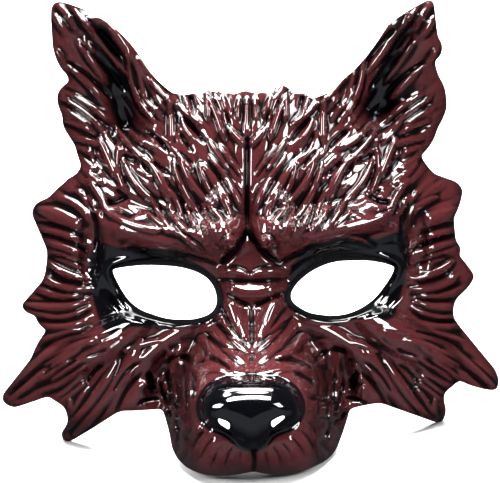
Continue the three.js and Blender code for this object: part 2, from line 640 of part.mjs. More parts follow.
// Turns the mask until its lip and its two lowest cheek tips are level, face to the front
function standUp(geometry) {
  const upright = new THREE.Matrix4().makeRotationX(Math.PI / 2);
  geometry.applyMatrix4(upright);
  const lipWide = LIP_OUT * SQUARE_X;
  for (let pass = 0; pass < 6; pass += 1) {
    const lowest = [null, null, null];
    const position = geometry.attributes.position;
    for (let index = 0; index < position.count; index += 1) {
      const point = new THREE.Vector3().fromBufferAttribute(position, index);
      const part = point.x < -lipWide ? 0 : point.x > lipWide ? 1 : 2;
      if (lowest[part] === null || point.z < lowest[part].z) lowest[part] = point;
    }
    const [left, right, lip] = lowest;
    const level = right.clone().sub(left).cross(left.clone().sub(lip)).normalize();
    const upwards = new THREE.Vector3(0, 0, Math.sign(level.z));
    geometry.applyQuaternion(new THREE.Quaternion().setFromUnitVectors(level, upwards));
  }
  return geometry;
}

// Wears the lowest points flat and sets the mask on the floor, centred on its box
function seat(geometry) {
  geometry.computeBoundingBox();
  const { min, max } = geometry.boundingBox;
  geometry.translate(-(min.x + max.x) / 2, -(min.y + max.y) / 2, -min.z - FOOT_WEAR);
  const size = max.clone().sub(min).multiplyScalar(1.2);
  const above = new THREE.BoxGeometry(size.x, size.y, 2 * size.z).translate(0, 0, size.z);
  return toGeometry(toSolid(geometry).intersect(toSolid(above)));
}

const oxbloodPlastic = new THREE.MeshStandardMaterial({ color: '#54252a', roughness: 0.22, metalness: 0 });

function maskShell() {
  const geometry = seat(standUp(drawIn(toGeometry(shellSolid()))));
  const mesh = new THREE.Mesh(geometry, oxbloodPlastic);
  mesh.name = 'mask_shell';
  return mesh;
}

const wolfMask = new THREE.Group();
wolfMask.name = 'wolf_mask';
wolfMask.add(maskShell());

export default wolfMask;
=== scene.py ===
import math

import bmesh
import bpy
import numpy as np
from mathutils import Euler, Matrix, Vector


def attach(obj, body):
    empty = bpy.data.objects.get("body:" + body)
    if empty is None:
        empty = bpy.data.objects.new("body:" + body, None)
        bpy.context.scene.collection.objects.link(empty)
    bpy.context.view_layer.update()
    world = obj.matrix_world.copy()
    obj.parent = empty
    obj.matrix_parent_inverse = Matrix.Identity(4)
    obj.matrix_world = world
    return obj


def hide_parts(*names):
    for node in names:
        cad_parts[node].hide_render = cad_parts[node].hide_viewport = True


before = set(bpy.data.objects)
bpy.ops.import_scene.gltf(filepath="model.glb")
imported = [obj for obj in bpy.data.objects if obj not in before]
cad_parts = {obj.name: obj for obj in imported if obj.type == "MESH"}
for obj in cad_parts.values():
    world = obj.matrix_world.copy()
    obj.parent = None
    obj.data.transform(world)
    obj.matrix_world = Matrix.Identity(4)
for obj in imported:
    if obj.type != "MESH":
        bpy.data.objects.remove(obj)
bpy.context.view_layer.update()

bl_info = {
    "name": "Wolf half mask",
    "version": (1, 0, 0),
    "blender": (4, 5, 0),
    "location": "View3D > Sidebar > Mask",
    "description": "A wolf half mask, moulded in one shell of glossy plastic and painted",
    "category": "Object",
}

# Sizes in mm
MM = 0.001
MASK_WIDTH = 206.0
MASK_HEIGHT = 196.0
DRAFT_LENGTH = 1500.0
SQUARES_ACROSS = 100
SQUARES_UP = 95
SQUARE_X = MASK_WIDTH / SQUARES_ACROSS
SQUARE_Y = MASK_HEIGHT / SQUARES_UP
MIDDLE_ACROSS = 50.0
MIDDLE_OFF = 0.75
MIDDLE_DRIFT = 0.019
SIGHT_Y = 46.7 * SQUARE_Y

FACE_DEPTH = 62.0
MUZZLE_REACH = 66.0
EAR_REACH = 24.0
EAR_HOLLOW = 11.0
SOCKET_DEPTH = 11.0
BROW_HEIGHT = 8.5
LOBE_HEIGHT = 5.0
CHEEK_HEIGHT = 6.0
NOSE_HEIGHT = 5.2
NOSE_ROUND = 14.0
NOSE_SUNK = 0.7
NOSE_BULGE = 2.2
NOSE_HALF_WIDTH = 21.0
NOSE_CURVE = 2.2
NOSE_GROOVE = ((-1.6, 0.6), (3.0, 0.0))
NOSTRIL_DEPTH = 1.3
NOSTRIL_WIDTH = 3.4
RIM_ROLL = 2.6
RIM_ROLL_WIDTH = 5.5
LID_HEIGHT = 1.8
LID_WIDTH = 2.4
LID_SET_BACK = 2.2
SLOPE_REACH = 1.2
STEEPEST = 2.6
THINNEST_WALL = 1.2

# The ears: where they rise in squares, their widths from foot to tip in squares, and shares of the hollow
EAR_RISE_UP = (62, 93)
EAR_RISE_OUT = (16, 30)
EAR_HOLLOW_WIDTHS = (6.2, 3.4)
EAR_TIP_HOLLOW = 0.45
EAR_ROLL_WIDTH = 3.4
EAR_ROLL_HEIGHT = 0.42

# How the muzzle falls away at its sides, and where the rim rolls less between the ears, in squares
MUZZLE_FALL = 1.25
TOP_RIM_OUT = (26, 20)
TOP_RIM_UP = (68, 72)
TOP_RIM_FLATTER = 0.7

# Where the fur fades out: off the nose and the eyes in mm, at the foot and along the bridge in squares
NOSE_BARE = (0.5, 3.0)
EYE_BARE = (3, 7)
FOOT_BARE = (-1.0, 1.5)
BRIDGE_HALF_WIDTH = 11.5
BRIDGE_FOOT = 17
BRIDGE_TOP = 43

# How strands and locks swell and taper, how high the small locks stand and how low a fold's ends are
STRAND_SWELL = 5
STRAND_TAPER = 3
LOCK_SWELL = 4.6
LOCK_TAPER = 2.4
LOCK_RIPPLE = 0.12
LOCK_SHARE = 0.33
LOCK_STEPS = 8
LOCK_TRIES = 40
FLOW_SOFTNESS = 2.0
LOCK_SPACING = (0.8, 0.62)
FOLD_END_HEIGHT = 0.35

# The sheet that is formed: its margins, the finer middle and the steps of its edges in mm, and how
# often its border and its forms are evened out
SHEET_MARGIN = 1.5
FOOT_MARGIN = 2.0
FINE_HALF_WIDTH = 50
FINE_FOOT = 58
FINE_TOP = 128
FINE_SHARES_ACROSS = (0, 0.22, 0.78, 1)
FINE_SHARES_UP = (0, 0.34, 0.70, 1)
EDGE_PIECE = 0.8
POINTS_AT_ONCE = 4000
RIM_STEP = 0.8
EYE_STEP = 0.6
NOSTRIL_STEP = 0.4
PINCH_PASSES = 8
BORDER_PASSES = 4
FORM_PASSES = 2
HOLLOW_PASSES = 16
INNER_KEPT = 0.14

# The paint: how deep in mm the black wash starts and how fast it fills (partly real wash, partly painted
# shade in the grooves), how much painted shade lies on the steep outer sides, and from where to where black
# covers
WASH_AND_SHADE_FROM = 0.08
WASH_AND_SHADE_SPREAD = 0.15
# Painted shade on the steep outer sides: how strong, from which slant and how many squares out.
PAINTED_SIDE_SHADE = 0.7
SIDE_SHADE_LEAN = (1.5, 2.2)
SIDE_SHADE_OUT = (9.5, 13.0)
NOSE_PAINT = (-1.5, -0.8)
LID_PAINT = (3.4, 2.6)
EAR_PAINT = (0.1, 0.7)
EAR_BLACK_WIDTHS = (5.6, 3.0)
EAR_CREST_BARE = 0.35
PAINT_RUN = 3.0
PAINT_RUN_LIMITS = (-0.5, 0.6)
PAINT_EDGE = 0.7

# How the mask stands on its lip and cheek tips: turns in degrees and place in mm
STAND_TURN = (80.848, 3.1637, -0.2730)
STAND_PLACE = (3.196, 64.481, 75.730)
EYE_DISTANCE = 1500.0
SENSOR_WIDTH = 36.0

# The stage, in metres: a soft light over the face, one behind it, one at each side and one for the floor
FLOOR_HALF_SIZE = 8.0
TABLE_GLOW = 7.0
FACE = (0.0, 0.0, 0.09)
LIGHTS = [
    # name, place, aim, width, height, power in W, spread in degrees
    ("softbox_above", (0.0, -0.22, 1.15), FACE, 1.00, 0.22, 78.0, 180),
    ("softbox_behind", (0.0, 0.20, 1.15), FACE, 1.10, 0.20, 56.0, 180),
    ("softbox_left", (-1.00, -0.50, 0.65), FACE, 0.34, 0.62, 36.0, 180),
    ("softbox_right", (0.95, -0.60, 0.65), FACE, 0.44, 0.62, 34.0, 180),
    ("floor_light", (0.0, 1.5, 1.6), (0.0, 1.4, 0.0), 1.6, 2.4, 150.0, 80),
]

# The outline, in squares: across, up, and how far the edge that ends there bows out
RIM = [
    (29.2, 81.8, -0.05), (12.1, 94.6, 0.108), (10.2, 93.0, 0.25), (10.4, 88.0, 0.02), (12.4, 80.9, 0.08),
    (13.8, 78.6, -0.12), (11.4, 76.0, 0.10), (12.4, 72.0, 0.08), (12.8, 69.2, 0.04), (15.0, 65.8, 0),
    (16.2, 62.0, 0.03),
    (13.6, 59.4, -0.15), (11.2, 57.2, -0.05), (8.2, 54.9, -0.10), (6.3, 52.2, 0.15), (9.2, 45.4, 0),
    (9.2, 42.2, -0.06), (8.4, 38.8, -0.05), (4.2, 34.0, 0), (7.0, 32.0, 0.18), (9.3, 29.0, 0.14),
    (6.2, 23.4, 0.05), (0.5, 16.2, 0), (1.6, 13.9, 0.22), (3.1, 13.5, 0.05), (9.6, 15.7, 0),
    (12.6, 13.8, 0), (13.4, 10.2, -0.10), (12.3, 8.7, 0), (12.4, 7.4, 0.10), (14.0, 6.7, 0.15),
    (18.6, 9.4, 0), (23.3, 12.4, 0), (25.9, 12.8, -0.08), (32.4, 13.2, 0),
    (34.3, 5.8, -0.03), (37.6, 1.4, 0.09), (42.9, -0.1, 0.06), (50.7, 0.8, 0.04), (58.6, 0.2, 0.05),
    (64.2, 2.4, 0.03), (67.4, 5.5, 0.09), (70.0, 13.2, 0.02),
    (76.2, 14.4, -0.03), (87.0, 10.6, 0), (88.6, 10.8, 0.10), (89.2, 13.8, 0.08), (89.1, 16.6, -0.12),
    (91.9, 18.9, 0), (98.9, 16.9, 0.05), (99.7, 18.0, 0.15), (98.4, 22.0, 0.12), (92.0, 29.8, 0),
    (90.8, 31.6, -0.03),
    (91.6, 35.6, -0.10), (95.0, 39.8, 0.07), (91.8, 44.0, 0.03), (92.2, 45.5, 0.10), (91.2, 47.0, 0),
    (90.8, 51.4, 0), (92.6, 56.8, 0.05), (90.4, 59.0, 0.14), (87.0, 60.2, 0), (84.2, 63.8, -0.04),
    (87.6, 69.4, 0.08), (89.4, 73.4, 0.04), (88.8, 78.0, 0.04), (87.0, 82.8, -0.06), (88.5, 85.0, 0.12),
    (87.6, 87.6, 0.10), (86.8, 94.4, 0), (85.5, 94.9, 0.20), (77.7, 90.2, 0.02), (70.8, 80.9, -0.03),
    (66.2, 76.6, 0.03), (62.2, 75.1, 0),
    (59.0, 76.0, 0.25), (53.7, 77.2, 0.25), (51.2, 77.0, 0.25), (46.8, 76.9, 0.24), (43.5, 76.6, 0.25),
    (40.4, 76.0, 0.22), (36.6, 75.8, 0.10), (34.8, 76.2, 0.10),
]
LEFT_EYE = [
    (25.5, 35.3, 0.03), (30.6, 32.2, 0.08), (36.4, 31.2, 0.06), (41.8, 32.2, 0.07), (43.3, 35.7, 0.16),
    (39.5, 40.5, 0.14), (33.0, 41.8, 0.05), (22.4, 41.1, 0.04),
]
RIGHT_EYE = [
    (70.2, 42.8, 0.06), (64.4, 41.8, 0.06), (60.0, 38.9, 0.05), (58.2, 36.3, 0.05), (59.6, 33.8, 0.18),
    (64.4, 32.1, 0.08), (73.3, 34.1, 0.10), (76.5, 37.3, 0.05), (79.0, 41.6, 0.04),
]
LEFT_NOSTRIL = [(45.8, 9.1, 0), (46.0, 10.4, 0.05), (43.5, 11.4, 0.05), (43.8, 10.4, 0)]
RIGHT_NOSTRIL = [(57.0, 11.5, 0), (56.8, 12.0, 0), (54.2, 10.7, 0.05), (54.5, 9.5, 0.05)]

# The main forms, in squares with heights in mm
# up, middle, reach
DOME = [
    (-2, 0.80, 0.80), (8, 0.80, 0.82), (14, 0.82, 0.98), (22, 0.84, 1.00), (36, 0.86, 1.00),
    (46, 0.94, 1.00), (58, 0.94, 0.98), (68, 0.87, 0.95), (78, 0.76, 0.94), (97, 0.58, 0.98),
]
DOME_ROUNDNESS = 2.2
# up, rise, top, foot
MUZZLE = [
    (-2, 0.62, 6.4, 21), (0.5, 0.72, 7.0, 21), (3, 0.84, 7.5, 21), (6, 0.92, 7.5, 20.5), (10, 0.96, 7.2, 20),
    (14, 0.93, 7.0, 19), (17, 0.86, 6.6, 18), (19.5, 0.72, 6.0, 16.5), (22, 0.52, 5.0, 15),
    (26, 0.32, 3.2, 12.5),
    (30, 0.20, 2.4, 10.5), (35, 0.13, 2.2, 8.8), (40, 0.08, 2.2, 7.6), (44, 0.03, 2.2, 7), (47, 0, 2.2, 7),
]
# across, up, half across, half up, turn, height
BROAD_FORMS = [
    (33.0, 37.2, 13.5, 7.8, -4, -SOCKET_DEPTH),
    (68.4, 38.0, 13.5, 7.8, 4, -SOCKET_DEPTH),
    (44.8, 51.0, 4.4, 8.6, -10, LOBE_HEIGHT),
    (54.4, 51.0, 4.6, 8.6, 10, LOBE_HEIGHT),
    (19.5, 26.0, 14, 4.6, 28, CHEEK_HEIGHT),
    (81.5, 27.0, 14, 4.6, -28, CHEEK_HEIGHT),
    (32.6, 18.5, 3.8, 7.0, -16, -CHEEK_HEIGHT),
    (68.6, 19.0, 3.8, 7.0, 16, -CHEEK_HEIGHT),
    (44.6, 4.2, 6.4, 4.4, 0, 0.5 * LOBE_HEIGHT),
    (56.6, 4.4, 6.4, 4.4, 0, 0.5 * LOBE_HEIGHT),
    (18.2, 45.0, 2.8, 8.0, 0, -0.4 * SOCKET_DEPTH),
    (83.3, 46.5, 2.8, 8.0, 0, -0.4 * SOCKET_DEPTH),
]
# hollow line, roll line, bend of the roll
EARS = [
    ((25.4, 71.0, 20.4, 88.5), (33.0, 75.0, 15.5, 92.6), 2.6),
    ((75.4, 73.0, 80.6, 89.5), (66.0, 75.4, 83.0, 92.6), -2.6),
]
# from across, from up, by across, by up, to across, to up, half width, height
BROW_FOLDS = [
    (47.5, 48.5, 33.5, 46.2, 20.0, 51.2, 5.0, 1),
    (53.0, 48.8, 66.5, 48.0, 80.8, 54.8, 5.0, 1),
]
NOSE_EDGE = [
    (55.2, 19.8, 0.03), (47.6, 19.9, 0.02), (43.3, 18.9, 0.06), (40.8, 16.9, 0.05), (39.6, 14.0, 0.06),
    (40.4, 10.9, 0.08), (42.0, 9.4, 0.06), (44.1, 8.7, 0.02), (46.3, 7.4, -0.02), (47.8, 5.8, 0.02),
    (49.3, 5.3, 0.06), (51.9, 5.3, 0.05), (53.6, 6.4, 0.06), (54.7, 8.1, -0.02), (57.2, 8.9, -0.02),
    (59.1, 9.9, 0.06), (60.2, 11.6, 0.05), (60.7, 13.6, 0.05), (59.4, 17.0, 0.06), (56.9, 19.0, 0.05),
]
NOSTRIL_DENTS = [(45.0, 9.6, 41.6, 10.2), (55.4, 9.8, 58.4, 10.6)]

# The fur and the fine folds
# How the fur flows on either half: out from the middle line and up, in squares, and the heading in
# degrees from straight up towards the side
FLOW = [
    (0.8, 74, 0), (1, 66, 5), (1, 58, 18), (2, 52, 24), (3, 47, 30), (6, 74, 12), (6, 68, 28), (6, 62, 36),
    (6, 56, 38), (6, 50, 36), (12, 73, 36), (12, 68, 46), (12, 62, 50), (12, 56, 50), (12, 50, 58),
    (18, 70, 46), (18, 64, 56), (18, 58, 60), (18, 52, 68), (24, 66, 54), (24, 60, 58), (24, 55, 62),
    (24, 50, 74), (20, 74, 26), (24, 80, 30), (30, 88, 40), (28, 78, 40), (33, 72, 50), (36, 76, 50),
    (37, 70, 64), (36, 64, 54), (33, 60, 38), (31, 56, 34), (34, 54, 60), (40, 54, 76), (34, 50, 62),
    (40, 50, 74), (36, 46, 74), (40, 44, 76), (34, 42, 80), (38, 40, 72), (32, 38, 92), (38, 37, 76),
    (32, 34, 104), (40, 34, 82), (32, 30, 110), (40, 30, 96), (34, 26, 108), (42, 24, 120), (46, 20, 132),
    (40, 20, 118), (34, 20, 126), (37, 14, 138), (30, 22, 140), (28, 18, 156), (33, 12, 134), (26, 27, 104),
    (22, 27, 94), (24, 22, 132), (25, 15, 162), (14, 27, 95), (18, 26, 95), (14, 22, 135), (15, 14, 165),
    (13, 8, 170), (3, 3, 165), (8, 5, 145), (6, 2, 155),
]
# The coats of fur: the box that their roots lie in, spacing and length and width of a lock in squares,
# its height in mm, and how many degrees it wavers
COATS = [
    # out, to out, up, to up, gap, length, width, height, waver
    (0.9, 17, 56, 71, 2.0, 9.5, 2.3, 2.1, 12),
    (1.2, 13, 44.5, 56, 2.0, 10.0, 2.2, 1.9, 9),
    (13, 29, 46.5, 55, 2.4, 13.0, 2.4, 1.9, 8),
    (17, 31, 55, 69, 2.3, 9.5, 2.5, 2.3, 16),
    (28.5, 34, 30, 60, 2.2, 13.0, 2.4, 2.2, 10),
    (26, 38, 16, 31, 2.1, 13.0, 2.2, 1.7, 8),
    (19, 27, 18, 29, 3.4, 14.0, 3.6, 1.8, 6),
    (27, 38, 60, 76, 2.1, 8.5, 2.2, 1.7, 10),
    (14, 24, 68, 76, 2.3, 15.0, 2.3, 1.6, 5),
    (24, 33, 74, 86, 2.4, 13.0, 2.2, 1.2, 5),
    (12.5, 20, 5, 26, 1.9, 5.2, 2.2, 3.4, 70),
    (2, 12, 1.5, 8, 1.7, 5.0, 1.5, 0.5, 12),
]
# Folds: from across, from up, by across, by up, to across, to up, half width, height in mm
FOLDS = [
    (45.0, 51.5, 45.4, 48.0, 47.4, 46.0, 3.4, 2.2),
    (54.4, 51.5, 53.8, 48.0, 51.8, 46.0, 3.4, 2.2),
    (45.0, 47.6, 46.2, 46.4, 47.4, 46.4, 2.4, 4.6),
    (54.2, 47.6, 53.0, 46.4, 51.8, 46.4, 2.4, 4.6),
    (36.0, 45.4, 28.0, 47.6, 20.5, 50.4, 2.6, 2.0),
    (60.0, 46.2, 70.0, 50.4, 80.0, 51.0, 2.6, 2.2),
    (44.5, 41.2, 47.5, 40.6, 49.8, 40.2, 1.2, 1.5),
    (50.0, 40.2, 53.0, 40.6, 57.4, 41.2, 1.2, 1.5),
    (45.4, 37.6, 50.2, 35.0, 56.2, 37.8, 2.2, 2.0),
    (45.6, 35.2, 47.2, 31.6, 49.4, 26.2, 2.3, 2.6),
    (56.0, 35.4, 53.4, 31.8, 51.3, 26.2, 2.4, 2.6),
    (43.6, 33.0, 45.6, 28.4, 49.6, 25.2, 1.4, 1.8),
    (57.6, 32.4, 55.0, 28.4, 50.9, 25.2, 1.4, 1.8),
    (42.0, 30.0, 44.0, 26.4, 49.2, 22.6, 1.6, 1.9),
    (59.4, 30.2, 56.6, 26.6, 51.4, 22.6, 1.6, 1.9),
    (39.8, 28.6, 42.4, 24.4, 47.8, 21.0, 1.6, 1.8),
    (61.8, 28.8, 58.6, 25.0, 52.4, 21.0, 1.6, 1.8),
    (38.6, 20.0, 41.6, 23.4, 48.6, 20.6, 1.4, 1.4),
    (62.4, 20.4, 59.4, 23.4, 52.0, 20.6, 1.4, 1.4),
    (43.0, 30.2, 33.0, 29.2, 26.5, 20.5, 2.3, 2.4),
    (58.8, 30.4, 68.0, 29.6, 74.5, 21.5, 2.3, 2.4),
    (37.0, 26.8, 33.6, 21.0, 35.2, 14.5, 1.7, 2.0),
    (65.0, 27.0, 68.0, 21.5, 66.0, 14.8, 1.7, 2.0),
    (40.0, 25.6, 36.6, 19.0, 37.6, 11.0, 1.5, 1.6),
    (61.6, 25.8, 64.6, 19.0, 63.4, 11.4, 1.5, 1.6),
]
# Grooves, in the same columns with their depth in mm
GROOVES = [
    (49.6, 73.0, 49.3, 60.0, 49.5, 48.4, 0.8, 1.8),
    (49.5, 49.4, 48.6, 45.4, 43.6, 42.0, 1.0, 2.6),
    (49.5, 49.4, 50.6, 45.4, 56.0, 42.2, 1.0, 2.6),
    (43.8, 42.1, 40.0, 43.4, 34.0, 45.0, 0.8, 1.4),
    (55.8, 42.3, 59.4, 44.4, 64.0, 46.6, 0.9, 1.6),
    (44.0, 41.4, 48.8, 42.6, 50.0, 40.0, 0.5, 1.0),
    (50.0, 40.0, 51.0, 42.6, 58.0, 41.6, 0.5, 1.0),
    (43.2, 39.2, 50.0, 38.4, 57.2, 39.2, 0.55, 1.3),
    (45.6, 36.2, 48.0, 34.4, 50.3, 33.8, 0.6, 1.3),
    (56.6, 36.4, 53.0, 34.6, 50.4, 33.8, 0.7, 1.5),
    (50.3, 33.8, 50.4, 30.0, 50.4, 25.2, 0.6, 1.5),
    (44.2, 34.0, 45.4, 29.6, 50.2, 25.0, 0.5, 1.2),
    (58.4, 31.4, 54.6, 28.6, 50.6, 25.0, 0.6, 1.4),
    (42.4, 31.2, 45.0, 28.8, 50.2, 25.0, 0.5, 1.2),
    (50.4, 24.6, 50.4, 23.6, 50.3, 22.6, 0.6, 1.1),
    (50.8, 5.4, 50.9, 3.0, 50.8, 0.4, 0.7, 1.6),
    (54.7, 22.8, 57.7, 23.9, 61.8, 21.5, 0.8, 1.6),
    (59.1, 20.4, 61.0, 19.6, 63.1, 18.1, 0.8, 1.4),
    (62.1, 15.5, 64.8, 15.0, 67.7, 13.7, 0.8, 1.6),
    (63.6, 11.8, 65.5, 10.8, 67.0, 11.2, 0.7, 1.4),
    (63.2, 23.4, 65.9, 26.0, 69.8, 24.7, 0.9, 1.6),
    (42.3, 23.4, 44.2, 22.8, 46.4, 20.8, 0.7, 1.4),
    (41.2, 28.2, 43.5, 25.8, 47.6, 24.9, 0.6, 1.2),
    (33.4, 22.8, 35.0, 24.2, 38.2, 23.4, 0.9, 1.8),
    (38.0, 20.8, 39.6, 18.4, 38.4, 15.4, 0.7, 1.2),
]
# The strands of the left half, mirrored for the right: where each starts, bends and ends, in fifths of
# a square from the left and down from the top of the layout, its half width in the same unit and its
# height in mm
STRANDS = [
    # from across, from down, by across, by down, to across, to down, half width, height
    (243, 214, 236, 188, 209, 155, 4.5, 2.0), (233, 219, 222, 196, 201, 163, 4.2, 2.0),
    (232, 206, 218, 183, 203, 162, 3.6, 1.8), (226, 226, 219, 211, 201, 203, 3.6, 1.6),
    (220, 205, 206, 191, 199, 163, 4.2, 2.0), (219, 208, 191, 195, 181, 158, 4.6, 2.2),
    (203, 219, 184, 200, 173, 162, 5.0, 2.2), (198, 231, 188, 213, 184, 203, 4.0, 1.8),
    (182, 218, 178, 200, 166, 186, 4.2, 2.0), (177, 216, 170, 203, 167, 194, 3.4, 1.6),
    (189, 234, 176, 222, 168, 205, 4.4, 1.9), (180, 236, 165, 225, 149, 195, 4.8, 2.2),
    (172, 236, 160, 222, 146, 212, 4.0, 1.6), (203, 251, 189, 243, 178, 232, 3.6, 1.5),
    (163, 230, 137, 231, 105, 211, 7.0, 2.0), (165, 237, 142, 232, 114, 228, 3.0, 1.2),
    (151, 238, 137, 238, 124, 247, 3.4, 1.5), (148, 215, 136, 216, 126, 222, 3.4, 1.0),
    (238, 232, 226, 214, 224, 196, 3.4, 1.3), (215, 232, 206, 218, 203, 205, 3.4, 1.3),
    (192, 172, 186, 163, 176, 152, 3.6, 1.6), (150, 168, 138, 152, 117, 128, 5.5, 2.2),
    (159, 149, 141, 143, 128, 129, 5.0, 2.0), (117, 180, 109, 160, 98, 136, 5.0, 2.2),
    (129, 196, 114, 178, 118, 150, 3.6, 1.8), (156, 204, 132, 186, 123, 160, 5.0, 2.2),
    (171, 206, 162, 178, 144, 153, 6.0, 2.2), (194, 196, 186, 176, 178, 158, 3.8, 1.6),
    (156, 124, 146, 110, 135, 94, 4.0, 1.8), (164, 117, 153, 110, 141, 94, 4.0, 1.8),
    (171, 146, 172, 118, 168, 94, 4.5, 1.8), (204, 126, 188, 116, 178, 104, 4.0, 2.0),
    (209, 122, 208, 108, 206, 94, 3.6, 2.0), (225, 141, 218, 116, 207, 95, 4.2, 2.2),
    (196, 142, 186, 132, 181, 119, 3.8, 1.8), (228, 171, 221, 157, 208, 139, 3.2, 1.6),
    (242, 180, 232, 163, 219, 145, 3.2, 1.6), (246, 140, 248, 118, 246, 99, 3.4, 2.0),
    (238, 122, 237, 112, 239, 99, 3.2, 2.0), (230, 118, 226, 106, 222, 96, 3.4, 1.8),
    (246, 146, 236, 138, 228, 127, 4.6, 1.8), (193, 118, 188, 108, 183, 94, 3.6, 1.8),
    (84, 231, 62, 214, 38, 209, 10.0, 2.2), (92, 226, 84, 204, 60, 197, 5.0, 1.8),
    (100, 222, 94, 200, 76, 190, 4.5, 2.0), (108, 214, 100, 190, 86, 178, 4.5, 2.0),
    (80, 240, 60, 232, 38, 229, 4.6, 1.8), (86, 256, 62, 246, 44, 242, 5.0, 1.8),
    (82, 262, 66, 256, 48, 250, 3.4, 1.4), (95, 282, 62, 276, 46, 260, 5.5, 2.0),
    (92, 289, 58, 292, 42, 274, 4.6, 1.8), (88, 297, 54, 297, 33, 286, 4.0, 1.6),
    (88, 302, 54, 312, 22, 303, 5.5, 1.9), (91, 307, 56, 324, 24, 309, 4.6, 1.8),
    (88, 321, 60, 330, 37, 324, 5.0, 1.8), (84, 329, 58, 332, 38, 342, 4.0, 1.5),
    (58, 345, 30, 366, 7, 391, 5.0, 2.0), (66, 348, 46, 358, 30, 366, 3.0, 1.4),
    (75, 346, 58, 359, 43, 365, 3.0, 1.4), (84, 345, 66, 358, 50, 367, 3.2, 1.4),
    (46, 369, 30, 385, 14, 396, 5.0, 1.9), (72, 359, 54, 373, 36, 382, 3.6, 1.6),
    (84, 358, 64, 371, 52, 380, 3.2, 1.5), (88, 364, 62, 386, 38, 391, 4.0, 1.7),
    (86, 372, 71, 386, 57, 397, 3.2, 1.5), (89, 378, 76, 390, 62, 400, 3.2, 1.5),
    (69, 396, 72, 405, 68, 420, 2.8, 1.5), (89, 386, 78, 400, 72, 414, 3.4, 1.6),
    (118, 360, 92, 408, 63, 430, 6.5, 2.2), (142, 338, 128, 376, 74, 436, 9.0, 2.0),
    (100, 340, 80, 342, 60, 352, 5.0, 1.4), (150, 352, 132, 362, 128, 382, 5.5, 1.8),
    (186, 341, 150, 338, 124, 352, 5.5, 1.8), (104, 350, 112, 348, 124, 336, 3.4, 1.4),
    (156, 124, 128, 96, 128, 52, 4.0, 2.0), (128, 76, 100, 44, 72, 6, 4.0, 2.0),
    (114, 78, 94, 54, 82, 37, 3.0, 1.6), (111, 87, 92, 63, 77, 41, 4.0, 2.0),
    (105, 101, 90, 86, 68, 64, 4.0, 1.8), (120, 129, 90, 104, 66, 92, 4.0, 1.8),
    (104, 134, 92, 112, 62, 98, 4.4, 1.8), (92, 128, 78, 116, 61, 107, 3.6, 1.6),
    (96, 135, 80, 124, 64, 122, 3.6, 1.6), (70, 38, 60, 24, 52, 13, 4.6, 1.6),
    (76, 30, 67, 15, 58, 4, 3.4, 1.4), (70, 72, 60, 60, 54, 48, 3.8, 1.6),
    (112, 60, 102, 46, 92, 30, 3.6, 1.4), (174, 105, 156, 88, 148, 78, 3.6, 1.6),
    (165, 121, 150, 107, 139, 90, 3.4, 1.5), (150, 112, 144, 96, 138, 72, 4.0, 1.4),
    (104, 146, 88, 140, 72, 138, 5.0, 1.8), (100, 158, 88, 150, 74, 146, 4.4, 1.6),
    (98, 172, 86, 164, 74, 152, 4.4, 1.6), (104, 186, 90, 176, 78, 162, 4.6, 1.8),
]
